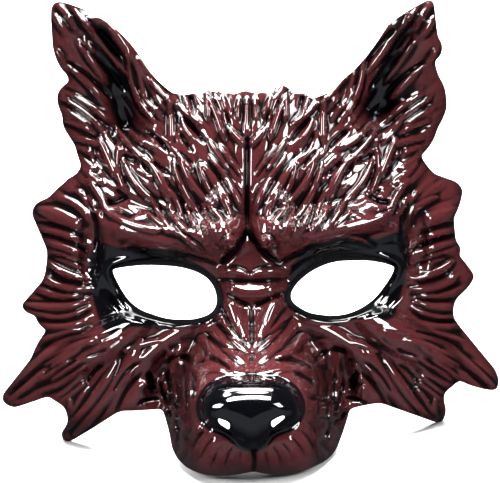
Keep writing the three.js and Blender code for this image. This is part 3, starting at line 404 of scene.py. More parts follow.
# The deep holes between the strands, black from the wash and its painted shade, in the same columns with
# their depth in mm
HOLES = [
    (153, 162, 160, 167, 170, 175, 2.6, 2.6), (141, 160, 145, 166, 149, 173, 2.4, 2.4),
    (124, 154, 130, 160, 138, 161, 2.6, 2.4), (121, 127, 127, 141, 143, 151, 2.2, 2.2),
    (147, 131, 158, 137, 168, 150, 3.4, 3.0), (181, 134, 184, 142, 192, 151, 2.6, 2.6),
    (186, 120, 194, 128, 204, 141, 2.8, 2.8), (190, 96, 193, 102, 194, 111, 3.0, 2.6),
    (179, 152, 187, 157, 194, 167, 1.6, 1.6), (231, 164, 235, 172, 241, 178, 2.0, 1.8),
    (108, 202, 116, 204, 128, 196, 4.0, 2.6), (117, 190, 122, 194, 128, 199, 2.4, 2.0),
    (93, 150, 96, 160, 106, 170, 2.4, 2.0), (110, 134, 114, 140, 116, 146, 2.2, 1.8),
    (181, 199, 184, 212, 190, 226, 2.0, 1.8), (157, 204, 165, 214, 172, 228, 2.0, 1.8),
    (214, 100, 217, 106, 219, 112, 2.0, 1.8), (226, 110, 228, 120, 230, 126, 2.0, 1.8),
    (36, 222, 56, 224, 77, 231, 1.9, 1.9), (42, 235, 64, 238, 86, 249, 2.0, 2.2),
    (51, 255, 66, 257, 84, 265, 1.9, 1.9), (49, 270, 64, 285, 92, 280, 2.0, 2.2),
    (39, 282, 50, 290, 66, 294, 1.5, 1.6), (35, 293, 64, 308, 90, 294, 1.6, 1.8),
    (50, 314, 74, 316, 90, 299, 1.4, 1.4), (38, 318, 72, 328, 92, 308, 1.7, 1.8),
    (40, 348, 58, 336, 86, 331, 1.6, 1.8), (82, 192, 92, 202, 96, 222, 2.6, 2.2),
    (96, 204, 98, 226, 96, 250, 2.4, 2.4), (114, 392, 120, 372, 141, 361, 2.4, 2.2),
    (117, 409, 124, 390, 142, 372, 2.4, 1.8), (86, 356, 108, 352, 124, 335, 1.8, 1.8),
    (87, 382, 93, 370, 104, 364, 2.4, 2.2), (52, 374, 64, 366, 78, 360, 1.6, 1.6),
    (146, 372, 152, 378, 152, 390, 5.0, 2.6), (138, 404, 148, 396, 160, 398, 3.0, 2.0),
    (98, 30, 108, 38, 125, 62, 2.4, 2.4), (92, 52, 106, 66, 124, 90, 3.0, 2.4),
    (68, 63, 86, 70, 110, 98, 2.6, 2.4), (68, 96, 86, 108, 106, 126, 1.8, 1.8),
    (62, 102, 76, 112, 92, 124, 1.6, 1.6), (64, 124, 78, 130, 96, 138, 2.0, 2.0),
    (168, 370, 172, 392, 168, 416, 2.4, 2.4), (176, 384, 180, 404, 176, 430, 2.0, 2.2),
    (186, 376, 184, 396, 188, 416, 1.8, 1.8), (160, 378, 164, 396, 172, 420, 2.0, 2.0),
    (170, 396, 176, 402, 178, 412, 3.0, 2.6), (160, 412, 164, 420, 172, 424, 2.6, 2.2),
    (174, 420, 180, 428, 178, 440, 2.4, 2.0), (184, 356, 192, 364, 200, 368, 2.4, 1.8),
    (243, 450, 239, 458, 238, 468, 1.8, 0.5), (234, 446, 227, 453, 225, 465, 1.8, 0.6),
    (225, 442, 216, 450, 213, 463, 1.8, 0.6), (214, 437, 205, 445, 201, 458, 1.8, 0.6),
    (205, 430, 196, 438, 192, 450, 1.8, 0.6), (198, 420, 190, 430, 186, 442, 1.8, 0.6),
]

# Where black paint covers the plastic round the eyes, in squares
LEFT_BLACKING = [
    (19.2, 47.0, 0), (23.3, 45.4, 0), (28.2, 45.4, 0), (35.1, 44.8, 0), (40.8, 41.7, 0), (43.3, 38.4, 0),
    (43.6, 35.0, 0), (41.9, 32.3, 0), (39.4, 30.2, 0), (34.8, 29.2, 0), (31.5, 29.2, 0), (26.0, 29.8, 0),
    (23.0, 27.6, 0), (20.6, 28.8, 0), (19.2, 33.0, 0), (17.6, 38.0, 0), (17.6, 43.0, 0),
]
RIGHT_BLACKING = [
    (80.8, 50.6, 0), (81.8, 47.4, 0), (81.8, 42.6, 0), (80.4, 37.0, 0), (79.0, 31.4, 0), (76.6, 30.8, 0),
    (73.8, 31.4, 0), (67.3, 30.4, 0), (62.7, 31.1, 0), (59.4, 32.3, 0), (57.8, 35.4, 0), (57.6, 38.6, 0),
    (58.2, 42.6, 0), (61.6, 45.6, 0), (65.0, 46.8, 0), (70.4, 47.6, 0), (75.2, 47.2, 0), (78.6, 48.6, 0),
]


# Plain maths
def mix(a, b, share):
    return a + (b - a) * share


def smooth(a, b, value):
    share = np.clip((value - a) / (b - a), 0.0, 1.0)
    return share * share * (3.0 - 2.0 * share)


def bell(radius):
    return np.where(radius < 1.0, (1.0 - np.minimum(radius, 1.0) ** 2) ** 2, 0.0)


def plateau(radius):
    return np.where(radius < 1.0, (1.0 - np.minimum(radius, 1.0) ** 4) ** 2, 0.0)


def place(across, up):
    """A square of the layout as a point in mm on the plane of the rim."""
    return np.array(((across - MIDDLE_ACROSS) * SQUARE_X, up * SQUARE_Y))


def middle_line(up):
    """The middle line of the face drifts a little to one side on the way up."""
    return MIDDLE_ACROSS + MIDDLE_OFF - MIDDLE_DRIFT * up


def section(rows, up):
    """The columns of a table of sections at any height, eased from row to row."""
    table = np.array(rows, float)
    ups = table[:, 0]
    above = np.clip(np.searchsorted(ups, up, side="right"), 1, len(ups) - 1)
    share = np.clip((up - ups[above - 1]) / (ups[above] - ups[above - 1]), 0.0, 1.0)
    found = []
    for column in range(1, table.shape[1]):
        values = table[:, column]
        before, start = values[np.maximum(above - 2, 0)], values[above - 1]
        end, after = values[above], values[np.minimum(above + 1, len(ups) - 1)]
        t0, t1 = 0.5 * (end - before), 0.5 * (after - start)
        eased = ((2 * start - 2 * end + t0 + t1) * share ** 3
                 + (-3 * start + 3 * end - 2 * t0 - t1) * share ** 2 + t0 * share + start)
        found.append(np.clip(eased, np.minimum(start, end), np.maximum(start, end)))
    return found


def edge_loop(rows, step, passes=3):
    """A closed edge from rows of ends and bows, as evenly spaced points."""
    ends = [place(row[0], row[1]) for row in rows]
    points = []
    for index, row in enumerate(rows):
        start, end = ends[index - 1], ends[index]
        along = end - start
        knee = (start + end) / 2 + 2 * row[2] * np.array((along[1], -along[0]))
        steps = max(2, math.ceil(math.hypot(*along) / EDGE_PIECE))
        for k in range(1, steps + 1):
            t = k / steps
            points.append((1 - t) ** 2 * start + 2 * t * (1 - t) * knee + t * t * end)
    points = np.array(points)
    for _ in range(passes):
        points = (2 * points + np.roll(points, 1, 0) + np.roll(points, -1, 0)) / 4
    closed = np.vstack((points, points[:1]))
    run = np.concatenate(((0.0,), np.cumsum(np.hypot(*np.diff(closed, axis=0).T))))
    marks = np.linspace(0.0, run[-1], math.ceil(run[-1] / step), endpoint=False)
    return np.column_stack((np.interp(marks, run, closed[:, 0]), np.interp(marks, run, closed[:, 1])))


def nearest_on(loop, x, y):
    """How far points lie inside a closed edge (less than nothing outside), and the nearest points on it."""
    a, b = np.roll(loop, 1, 0), loop
    step = b - a
    length = (step ** 2).sum(1)
    depth, foot = np.empty(len(x)), np.empty((len(x), 2))
    for start in range(0, len(x), POINTS_AT_ONCE):
        part = slice(start, start + POINTS_AT_ONCE)
        px, py = x[part, None], y[part, None]
        t = np.clip(((px - a[:, 0]) * step[:, 0] + (py - a[:, 1]) * step[:, 1]) / length, 0.0, 1.0)
        dx, dy = px - a[:, 0] - t * step[:, 0], py - a[:, 1] - t * step[:, 1]
        away = dx * dx + dy * dy
        best = away.argmin(1)
        row = np.arange(len(best))
        crossed = (a[:, 1] > py) != (b[:, 1] > py)
        rise = np.where(step[:, 1] == 0, 1.0, step[:, 1])
        left = px < a[:, 0] + (py - a[:, 1]) / rise * step[:, 0]
        inside = (crossed & left).sum(1) % 2 == 1
        reach = np.sqrt(away[row, best])
        depth[part] = np.where(inside, reach, -reach)
        foot[part, 0] = px[:, 0] - dx[row, best]
        foot[part, 1] = py[:, 0] - dy[row, best]
    return depth, foot


def bent_line(row, pieces=10):
    """A line from one square by a second to a third, as points in mm."""
    start, knee, end = place(*row[0:2]), place(*row[2:4]), place(*row[4:6])
    t = np.linspace(0.0, 1.0, pieces + 1)[:, None]
    return (1 - t) ** 2 * start + 2 * t * (1 - t) * knee + t * t * end


def along_stroke(line, half_width, x, y):
    """Points near a line: which they are, how far along it and how far off it, as shares."""
    pieces = len(line) - 1
    low, high = line.min(0) - half_width, line.max(0) + half_width
    near = np.nonzero((x > low[0]) & (x < high[0]) & (y > low[1]) & (y < high[1]))[0]
    px, py = x[near, None], y[near, None]
    a, step = line[:-1], np.diff(line, axis=0)
    share = ((px - a[:, 0]) * step[:, 0] + (py - a[:, 1]) * step[:, 1]) / (step ** 2).sum(1)
    share = np.clip(share, 0.0, 1.0)
    away = np.hypot(px - a[:, 0] - share * step[:, 0], py - a[:, 1] - share * step[:, 1])
    if not len(near):
        return near, np.empty(0), np.empty(0)
    best = away.argmin(1)
    row = np.arange(len(best))
    return near, (best + share[row, best]) / pieces, away[row, best] / half_width


# The sculpt
RIM_LOOP = edge_loop(RIM, 2.0)
EYE_LOOPS = [edge_loop(rows, 1.2) for rows in (LEFT_EYE, RIGHT_EYE)]
NOSE_LOOP = edge_loop(NOSE_EDGE, 0.8, 10)
BLACKING_LOOPS = [edge_loop(rows, 1.5, 8) for rows in (LEFT_BLACKING, RIGHT_BLACKING)]


def off_line(line, x, y, bend):
    """How far along a line points lie, as a share, and how far off it in mm; the line may be bent."""
    start, end = place(line[0], line[1]), place(line[2], line[3])
    along = end - start
    length = math.hypot(*along)
    share = ((x - start[0]) * along[0] + (y - start[1]) * along[1]) / length ** 2
    held = np.clip(share, 0.0, 1.0)
    sag = bend * SQUARE_X * 4 * held * (1 - held)
    side = (x - start[0] - held * along[0]) * along[1] - (y - start[1] - held * along[1]) * along[0]
    return share, np.hypot(side / length - sag, (share - held) * length)


def ear_form(x, y):
    """The ears rise from the head, each with a hollow inside and a rolled outer edge."""
    form = EAR_REACH * smooth(*EAR_RISE_UP, y / SQUARE_Y) * smooth(*EAR_RISE_OUT, np.abs(x) / SQUARE_X)
    for hollow, roll, bend in EARS:
        share, off = off_line(hollow, x, y, 0)
        share = np.clip(share, 0, 1)
        dip = mix(1, EAR_TIP_HOLLOW, share) * bell(off / (mix(*EAR_HOLLOW_WIDTHS, share) * SQUARE_X))
        rolled = bell(off_line(roll, x, y, bend)[1] / (EAR_ROLL_WIDTH * SQUARE_X))
        form = form - EAR_HOLLOW * dip + EAR_ROLL_HEIGHT * EAR_HOLLOW * rolled
    return form


def muzzle_form(x, y):
    """The muzzle, level across its top and falling away to its foot on both sides."""
    up = y / SQUARE_Y
    rise, top, foot = section(MUZZLE, up)
    out = np.abs(x / SQUARE_X + MIDDLE_ACROSS - middle_line(up))
    share = np.clip((out - top) / (foot - top), 0.0, 1.0)
    return MUZZLE_REACH * rise * (1 - smooth(0, 1, share ** MUZZLE_FALL))


def nose_form(x, depth):
    """The nose pad, rounded over from its edge and across, with a fine groove round it."""
    rounded = 1 - (1 - np.clip(depth / NOSE_ROUND, 0, 1)) ** NOSE_CURVE
    bulge = NOSE_BULGE * (1 - np.minimum(np.abs(x) / NOSE_HALF_WIDTH, 1) ** 2)
    groove = NOSE_SUNK * smooth(*NOSE_GROOVE[0], depth) * smooth(*NOSE_GROOVE[1], depth)
    return (NOSE_HEIGHT + bulge) * rounded - groove


def broad_forms(x, y):
    """The sockets, lobes, cheeks and lips, each a low plateau on an oval."""
    form = np.zeros_like(x)
    for across, up, half_across, half_up, turn, height in BROAD_FORMS:
        middle = place(across, up)
        angle = math.radians(turn)
        dx, dy = (x - middle[0]) / SQUARE_X, (y - middle[1]) / SQUARE_Y
        along = dx * math.cos(angle) + dy * math.sin(angle)
        over = dy * math.cos(angle) - dx * math.sin(angle)
        form += height * plateau(np.hypot(along / half_across, over / half_up))
    return form


def dome_form(x, y):
    """The face's curve round the head."""
    middle, reach = section(DOME, y / SQUARE_Y)
    out = np.abs(x) / (reach * MASK_WIDTH / 2)
    return FACE_DEPTH * middle * (1 - out ** DOME_ROUNDNESS)


def both_halves(rows):
    """Rows in fifths of a square as rows in squares, each with its mirror image."""
    found = []
    for *spots, half, height in rows:
        across = [spot / 5 for spot in spots[0::2]]
        up = [SQUARES_UP - spot / 5 for spot in spots[1::2]]
        for mirrored in (False, True):
            seen = [2 * middle_line(b) - a if mirrored else a for a, b in zip(across, up)]
            found.append((*(value for pair in zip(seen, up) for value in pair), half / 5, height))
    return found


def strand_relief(rows, x, y):
    """Each strand swells from its start, is round across with a low crest, and ends in a point."""
    relief = np.zeros_like(x)
    for *ends_and_knee, half, height in rows:
        near, along, off = along_stroke(bent_line(ends_and_knee), half * SQUARE_X, x, y)
        spread = np.sqrt(np.clip(STRAND_SWELL * along, 0, 1) * np.maximum(1 - along ** STRAND_TAPER, 0.0))
        share = off / np.maximum(spread, 1e-3)
        across = np.maximum(1 - share ** 2, 0.0)
        relief[near] = np.maximum(relief[near], height * across * smooth(-0.15, 0.25, along))
    return relief


def fold_relief(rows, x, y, size):
    """Folds, soft across and lower at both ends, with their heights in units of a size in mm."""
    relief = np.zeros_like(x)
    for *ends_and_knee, half, height in rows:
        near, along, off = along_stroke(bent_line(ends_and_knee), half * SQUARE_X, x, y)
        ends = smooth(0, 0.12, along) * smooth(1, 0.82, along)
        relief[near] = np.maximum(relief[near], height * size * bell(off) * mix(FOLD_END_HEIGHT, 1, ends))
    return relief


def rim_form(x, y):
    """The rim rolls back, less so along the top edge between the ears."""
    away = 1 - nearest_on(RIM_LOOP, x, y)[0] / RIM_ROLL_WIDTH
    flatter = TOP_RIM_FLATTER * smooth(*TOP_RIM_OUT, np.abs(x) / SQUARE_X) * smooth(*TOP_RIM_UP, y / SQUARE_Y)
    return -RIM_ROLL * (1 - flatter) * np.where(away > 1, 2 * away - 1, np.maximum(away, 0) ** 2)


def main_form(x, y):
    """All the large forms, in mm in front of the rim's plane."""
    return (dome_form(x, y) + muzzle_form(x, y) + ear_form(x, y) + broad_forms(x, y)
            + fold_relief(BROW_FOLDS, x, y, BROW_HEIGHT) + rim_form(x, y))


def slant(x, y):
    """How much a step square to the surface grows when it is measured straight forward."""
    across = (main_form(x + SLOPE_REACH, y) - main_form(x - SLOPE_REACH, y)) / (2 * SLOPE_REACH)
    upwards = (main_form(x, y + SLOPE_REACH) - main_form(x, y - SLOPE_REACH)) / (2 * SLOPE_REACH)
    return np.hypot(1.0, np.minimum(np.hypot(across, upwards), STEEPEST))


def lid_form(eye_depths):
    """A raised lid round each eye, which turns in at the opening."""
    form = 0.0
    for depth in eye_depths:
        form = form + LID_HEIGHT * (bell((-depth - LID_SET_BACK) / LID_WIDTH) - smooth(-1.0, 2.0, depth))
    return form


FLOW_TABLE = np.array(FLOW, float)


def flow_heading(out, up):
    """The fur's heading at a square, in radians, eased between the rows of the flow."""
    away = (FLOW_TABLE[:, 0] - out) ** 2 + (FLOW_TABLE[:, 1] - up) ** 2
    weight = 1.0 / (away + FLOW_SOFTNESS) ** 2
    turn = np.radians(FLOW_TABLE[:, 2])
    return math.atan2((weight * np.sin(turn)).sum(), (weight * np.cos(turn)).sum())


def grow_locks(seed):
    """The locks of both halves, each a line in mm with its half width and height."""
    rng = np.random.default_rng(seed)
    locks = []
    for side in (-1, 1):
        for low, high, foot, top, gap, length, width, height, waver in COATS:
            roots = []
            for _ in range(int(LOCK_TRIES * (high - low) * (top - foot) / (gap * length)) + LOCK_TRIES):
                out, up = rng.uniform(low, high), rng.uniform(foot, top)
                turn = flow_heading(out, up)
                clear = True
                for other_out, other_up in roots:
                    dx, dy = other_out - out, other_up - up
                    across = (dx * math.cos(turn) - dy * math.sin(turn)) / (LOCK_SPACING[0] * gap)
                    along = (dx * math.sin(turn) + dy * math.cos(turn)) / (LOCK_SPACING[1] * length)
                    if across ** 2 + along ** 2 < 1:
                        clear = False
                        break
                if not clear:
                    continue
                roots.append((out, up))
                reach = length * rng.uniform(0.8, 1.2) / LOCK_STEPS
                phase, sway = rng.uniform(0, 2 * math.pi), math.radians(waver) * rng.uniform(0.4, 1.0)
                line = [place(middle_line(up) + side * out, up)]
                for step in range(LOCK_STEPS):
                    heading = flow_heading(out, up) + sway * math.sin(phase + 5.0 * step / LOCK_STEPS)
                    out, up = out + reach * math.sin(heading), up + reach * math.cos(heading)
                    line.append(place(middle_line(up) + side * max(out, 0.5), up))
                locks.append((np.array(line), width * SQUARE_X / 2 * rng.uniform(0.8, 1.25),
                              height * rng.uniform(0.75, 1.15)))
    return locks


def lock_relief(x, y, seed):
    """Each lock swells from its root, is round across and ends in a point."""
    relief = np.zeros_like(x)
    for line, half_width, height in grow_locks(seed):
        near, along, off = along_stroke(line, half_width, x, y)
        spread = np.sqrt(np.clip(LOCK_SWELL * along, 0, 1) * np.maximum(1 - along ** LOCK_TAPER, 0.0))
        share = off / np.maximum(spread, 1e-3)
        across = np.maximum(1 - share ** 2, 0.0) * (1 + LOCK_RIPPLE * np.cos(3 * math.pi * share))
        swell = smooth(-0.1, 0.35, along) * smooth(1.1, 0.6, along)
        relief[near] = np.maximum(relief[near], height * across * swell)
    return relief


# Finishes
def linear(hex_colour):
    """An sRGB hex value as linear colour."""
    parts = [int(hex_colour[i:i + 2], 16) / 255 for i in (1, 3, 5)]
    return tuple(c / 12.92 if c <= 0.04045 else ((c + 0.055) / 1.055) ** 2.4 for c in parts) + (1.0,)


def node(tree, kind, settings=(), links=()):
    """A node with its settings, and links as (input, from node, output)."""
    made = tree.nodes.new(kind)
    for name, value in dict(settings).items():
        if isinstance(name, str) and name not in made.inputs:
            setattr(made, name, value)
        else:
            made.inputs[name].default_value = value
    for socket, source, output in links:
        tree.links.new(source.outputs[output], made.inputs[socket])
    return made


def bare_tree(name):
    """A new material and its empty tree."""
    material = bpy.data.materials.new(name)
    material.use_nodes = True
    material.node_tree.nodes.clear()
    return material, material.node_tree


def painted_plastic(paint):
    # Injection-moulded ABS under a gloss lacquer: oxblood red, with black paint brushed round the eyes and
    # over the nose, a black wash in the grooves that is partly real wash wiped in and partly painted shade,
    # and painted shade on the steep outer sides. The eye gets hard bright streaks on every crest. The wash
    # with its painted shade and the black come from the shell's own attributes; the blotches are 22 mm across
    # and the lacquer's orange peel 2.4 mm, which is coarser than real so that it shows.
    material, tree = bare_tree("lacquered_oxblood_plastic")
    spot = node(tree, "ShaderNodeTexCoord")
    blotch = node(tree, "ShaderNodeTexNoise", {"Scale": 45.0, "Detail": 3.0, "Roughness": 0.6},
                  [("Vector", spot, "Object")])
    tone = node(tree, "ShaderNodeMix", {"data_type": "RGBA"}, [(0, blotch, "Fac")])
    tone.inputs[6].default_value = paint.deep
    tone.inputs[7].default_value = paint.oxblood
    wash_and_shade = node(tree, "ShaderNodeAttribute", {"attribute_name": "wash_and_shade"})
    washed_and_shaded = node(tree, "ShaderNodeMix", {"data_type": "RGBA"}, [(0, wash_and_shade, "Fac"), (6, tone, 2)])
    washed_and_shaded.inputs[7].default_value = paint.wash_and_shade
    black = node(tree, "ShaderNodeAttribute", {"attribute_name": "blacking"})
    coated = node(tree, "ShaderNodeMix", {"data_type": "RGBA"}, [(0, black, "Fac"), (6, washed_and_shaded, 2)])
    coated.inputs[7].default_value = paint.black
    peel = node(tree, "ShaderNodeTexNoise", {"Scale": 420.0, "Detail": 2.0}, [("Vector", spot, "Object")])
    bump = node(tree, "ShaderNodeBump", {"Strength": 0.04, "Distance": 0.0004}, [("Height", peel, "Fac")])
    dulled = node(tree, "ShaderNodeMapRange", {"To Min": 0.07, "To Max": 0.15}, [("Value", wash_and_shade, "Fac")])
    # Painted shade on the reflections too: the gloss is dimmed where the wash and its painted shade lie.
    gleam = node(tree, "ShaderNodeMapRange", {"To Min": 0.5, "To Max": 0.12}, [("Value", wash_and_shade, "Fac")])
    shader = node(tree, "ShaderNodeBsdfPrincipled", {"IOR": 1.5},
                  [("Base Color", coated, 2), ("Roughness", dulled, "Result"),
                   ("Specular IOR Level", gleam, "Result"), ("Normal", bump, "Normal")])
    node(tree, "ShaderNodeOutputMaterial", (), [("Surface", shader, "BSDF")])
    return material


def bare_plastic(paint):
    # The same ABS as it leaves the mould, unpainted: the inner side, even and a little duller.
    # The grain is 4 mm across, which is coarser than a mould's, so that it shows.
    material, tree = bare_tree("bare_moulded_plastic")
    spot = node(tree, "ShaderNodeTexCoord")
    grain = node(tree, "ShaderNodeTexNoise", {"Scale": 250.0, "Detail": 3.0}, [("Vector", spot, "Object")])
    tone = node(tree, "ShaderNodeMix", {"data_type": "RGBA"}, [(0, grain, "Fac")])
    tone.inputs[6].default_value = paint.deep
    tone.inputs[7].default_value = paint.oxblood
    bump = node(tree, "ShaderNodeBump", {"Strength": 0.1, "Distance": 0.0003}, [("Height", grain, "Fac")])
    shader = node(tree, "ShaderNodeBsdfPrincipled", {"Roughness": 0.42, "IOR": 1.5},
                  [("Base Color", tone, 2), ("Normal", bump, "Normal")])
    node(tree, "ShaderNodeOutputMaterial", (), [("Surface", shader, "BSDF")])
    return material


def paper_floor(colour):
    # Matt white background paper, which takes only a soft shadow.
    material, tree = bare_tree("white_paper_floor")
    shader = node(tree, "ShaderNodeBsdfPrincipled", {"Base Color": colour, "Roughness": 0.6})
    node(tree, "ShaderNodeOutputMaterial", (), [("Surface", shader, "BSDF")])
    return material


# Settings
def colour_setting(name, description, hex_colour):
    return bpy.props.FloatVectorProperty(name=name, description=description, size=4, subtype="COLOR",
                                         default=linear(hex_colour))


class MaskShellSettings(bpy.types.PropertyGroup):
    wall: bpy.props.FloatProperty(name="Wall", description="Thickness of the moulded wall",
                                  default=0.002, min=0.0015, max=0.004, unit="LENGTH")
    columns: bpy.props.IntProperty(name="Columns", description="Cells across the mask", default=366, min=60)
    rows: bpy.props.IntProperty(name="Rows", description="Cells up the mask", default=342, min=60)
    fur: bpy.props.FloatProperty(name="Fur", description="Height of the cast fur, as a share",
                                 default=1.25, min=0.0, max=1.5, subtype="FACTOR")
    seed: bpy.props.IntProperty(name="Seed", description="Seed of the differences between locks", default=4)


class MaskPaintSettings(bpy.types.PropertyGroup):
    oxblood: colour_setting("Oxblood", "The plastic's colour", "#2e0f11")
    deep: colour_setting("Deep oxblood", "The plastic's darker colour", "#220c0d")
    # The colour of the wash, which is partly real wash and partly painted shade.
    wash_and_shade: colour_setting("Wash", "The dark wash in the grooves", "#030202")
    black: colour_setting("Black", "The black paint", "#010102")


class MaskStageSettings(bpy.types.PropertyGroup):
    floor: colour_setting("Floor", "The floor's colour", "#a8a8a8")
    sky: bpy.props.FloatProperty(name="Room light", description="Strength of the even light in the room",
                                 default=0.08, min=0.0, max=3.0)


# The shell
def flat_points(verts):
    points = np.array([vert.co[:2] for vert in verts], float).reshape(-1, 2)
    return points[:, 0].copy(), points[:, 1].copy()


def cut_outline(bm, loops):
    """Leaves the cells inside the rim and outside the openings, with their borders drawn onto those edges."""
    bm.faces.ensure_lookup_table()
    centres = np.array([face.calc_center_median()[:2] for face in bm.faces])
    depth = nearest_on(loops[0], centres[:, 0], centres[:, 1])[0]
    for hole in loops[1:]:
        depth = np.minimum(depth, -nearest_on(hole, centres[:, 0], centres[:, 1])[0])
    faces = list(bm.faces)
    bmesh.ops.delete(bm, geom=[faces[i] for i in np.nonzero(depth < 0)[0]], context="FACES")
    for _ in range(PINCH_PASSES):
        pinched = [face for vert in bm.verts if sum(edge.is_boundary for edge in vert.link_edges) > 2
                   for face in vert.link_faces]
        if not pinched:
            break
        bmesh.ops.delete(bm, geom=list(dict.fromkeys(pinched)), context="FACES")
    for _ in range(BORDER_PASSES):
        border = [vert for vert in bm.verts if vert.is_boundary]
        x, y = flat_points(border)
        found = [nearest_on(loop, x, y) for loop in loops]
        nearest = np.argmin([np.abs(depth) for depth, _ in found], axis=0)
        for index, vert in enumerate(border):
            vert.co = (*found[nearest[index]][1][index], 0.0)
        beside = dict.fromkeys(border)
        for _ in range(2):
            beside |= dict.fromkeys(edge.other_vert(vert) for vert in beside for edge in vert.link_edges)
        inner = [vert for vert in beside if not vert.is_boundary]
        bmesh.ops.smooth_vert(bm, verts=inner, factor=0.5, use_axis_x=True, use_axis_y=True)


def flat_sheet(sizes):
    """A flat grid in mm, finer over the middle of the face, cut to the rim and the openings."""
    bm = bmesh.new()
    bmesh.ops.create_grid(bm, x_segments=sizes.columns, y_segments=sizes.rows, size=0.5)
    u, v = flat_points(bm.verts)
    edge = MASK_WIDTH / 2 + SHEET_MARGIN
    x = np.interp(u + 0.5, FINE_SHARES_ACROSS, (-edge, -FINE_HALF_WIDTH, FINE_HALF_WIDTH, edge))
    y = np.interp(v + 0.5, FINE_SHARES_UP, (-FOOT_MARGIN, FINE_FOOT, FINE_TOP, MASK_HEIGHT + SHEET_MARGIN))
    for vert, across, up in zip(bm.verts, x, y):
        vert.co = (across, up, 0.0)
    rim = edge_loop(RIM, RIM_STEP)
    eyes = [edge_loop(rows, EYE_STEP) for rows in (LEFT_EYE, RIGHT_EYE)]
    nostrils = [edge_loop(rows, NOSTRIL_STEP, 1) for rows in (LEFT_NOSTRIL, RIGHT_NOSTRIL)]
    cut_outline(bm, [rim, *eyes, *nostrils])
    bm.verts.index_update()
    return bm


def stand(x, y, w):
    """Draws the forms in towards the front and stands the mask on its three feet, in metres."""
    scale = 1 - w / DRAFT_LENGTH
    turn = np.array(Euler([math.radians(a) for a in STAND_TURN]).to_matrix())
    points = np.column_stack((x * scale, (y - SIGHT_Y) * scale, w)) @ turn.T + np.array(STAND_PLACE)
    points[:, 2] = np.maximum(points[:, 2], 0.0)
    return points * MM


def eased(values, pairs, passes):
    """Each value drawn towards its neighbours' mean, a number of times."""
    count = len(values)
    degree = np.maximum(np.bincount(pairs.ravel(), minlength=count), 1)
    for _ in range(passes):
        total = np.bincount(pairs[:, 0], values[pairs[:, 1]], count)
        total = total + np.bincount(pairs[:, 1], values[pairs[:, 0]], count)
        values = 0.5 * values + 0.5 * total / degree
    return values


def fur_share(x, y, nose_depth, eye_depths):
    """Where the fur grows: it fades out at the nose, the eyes, the lower edge and along the bridge."""
    up = y / SQUARE_Y
    out = np.abs(x / SQUARE_X + MIDDLE_ACROSS - middle_line(up))
    share = smooth(*NOSE_BARE, -nose_depth) * smooth(*FOOT_BARE, up)
    for depth in eye_depths:
        share = share * smooth(*EYE_BARE, -depth)
    bridge = smooth(BRIDGE_HALF_WIDTH + 1.5, BRIDGE_HALF_WIDTH, out)
    bridge = bridge * smooth(BRIDGE_TOP + 1.5, BRIDGE_TOP, up) * smooth(BRIDGE_FOOT - 2, BRIDGE_FOOT, up)
    return share * (1 - bridge), out


def shell_forms(x, y, pairs, sizes):
    """The outer and the inner side in mm in front of the rim, and the shares of wash with painted shade and
    of black paint.
    """
    main, lean = main_form(x, y), slant(x, y)
    eye_depths = [nearest_on(loop, x, y)[0] for loop in EYE_LOOPS]
    nose_depth = nearest_on(NOSE_LOOP, x, y)[0]
    share, out = fur_share(x, y, nose_depth, eye_depths)
    strands = strand_relief(both_halves(STRANDS), x, y)
    furry = sizes.fur * np.maximum(strands, LOCK_SHARE * lock_relief(x, y, sizes.seed)) * share
    holes = fold_relief(both_halves(HOLES), x, y, 1.0) * share
    grooves = np.maximum(fold_relief(GROOVES, x, y, 1.0), holes)
    relief = eased(np.maximum(furry, fold_relief(FOLDS, x, y, 1.0)) - grooves, pairs, FORM_PASSES)
    dents = np.maximum.reduce([bell(off_line(line, x, y, 0)[1] / NOSTRIL_WIDTH) for line in NOSTRIL_DENTS])
    detail = relief + nose_form(x, nose_depth) - NOSTRIL_DEPTH * dents
    outer = main + lid_form(eye_depths) + detail * lean
    inner = np.minimum(main - sizes.wall / MM * lean, outer - THINNEST_WALL * lean)

    # Darker in the hollows between the forms: partly a real dark wash, partly painted shade.
    hollowness = eased(relief, pairs, HOLLOW_PASSES) - relief
    # Painted shade on the steep outer sides, joined to the wash.
    sides = smooth(*SIDE_SHADE_LEAN, lean) * smooth(*SIDE_SHADE_OUT, out)
    wash_and_shade = np.maximum(np.clip((hollowness - WASH_AND_SHADE_FROM) / WASH_AND_SHADE_SPREAD, 0, 1), PAINTED_SIDE_SHADE * sides)
    black = smooth(*NOSE_PAINT, nose_depth)
    for hollow, _, _ in EARS:
        along, off = off_line(hollow, x, y, 0)
        dark = bell(off / (mix(*EAR_BLACK_WIDTHS, np.clip(along, 0, 1)) * SQUARE_X))
        black = np.maximum(black, smooth(*EAR_PAINT, dark - EAR_CREST_BARE * relief))
    sunk = PAINT_RUN * np.clip(hollowness, *PAINT_RUN_LIMITS)
    for loop, depth in zip(BLACKING_LOOPS, eye_depths):
        black = np.maximum(black, smooth(-PAINT_EDGE, PAINT_EDGE, nearest_on(loop, x, y)[0] + sunk))
        black = np.maximum(black, smooth(*LID_PAINT, -depth))
    return outer, inner, wash_and_shade, black


def thin_out(shell, inner_side, front_faces):
    """Fewer faces on the plain inner side, with the front and the rim left as they are."""
    shell.vertex_groups.new(name="inner_side").add(inner_side, 1.0, "REPLACE")
    thin = shell.modifiers.new("thin_inner_side", "DECIMATE")
    thin.vertex_group = "inner_side"
    faces = len(shell.data.polygons)
    thin.ratio = (front_faces + (faces - front_faces) * INNER_KEPT) / faces
    bpy.context.view_layer.update()
    seen = shell.evaluated_get(bpy.context.evaluated_depsgraph_get())
    full, shell.data = shell.data, bpy.data.meshes.new_from_object(seen)
    shell.modifiers.clear()
    shell.vertex_groups.clear()
    bpy.data.meshes.remove(full)


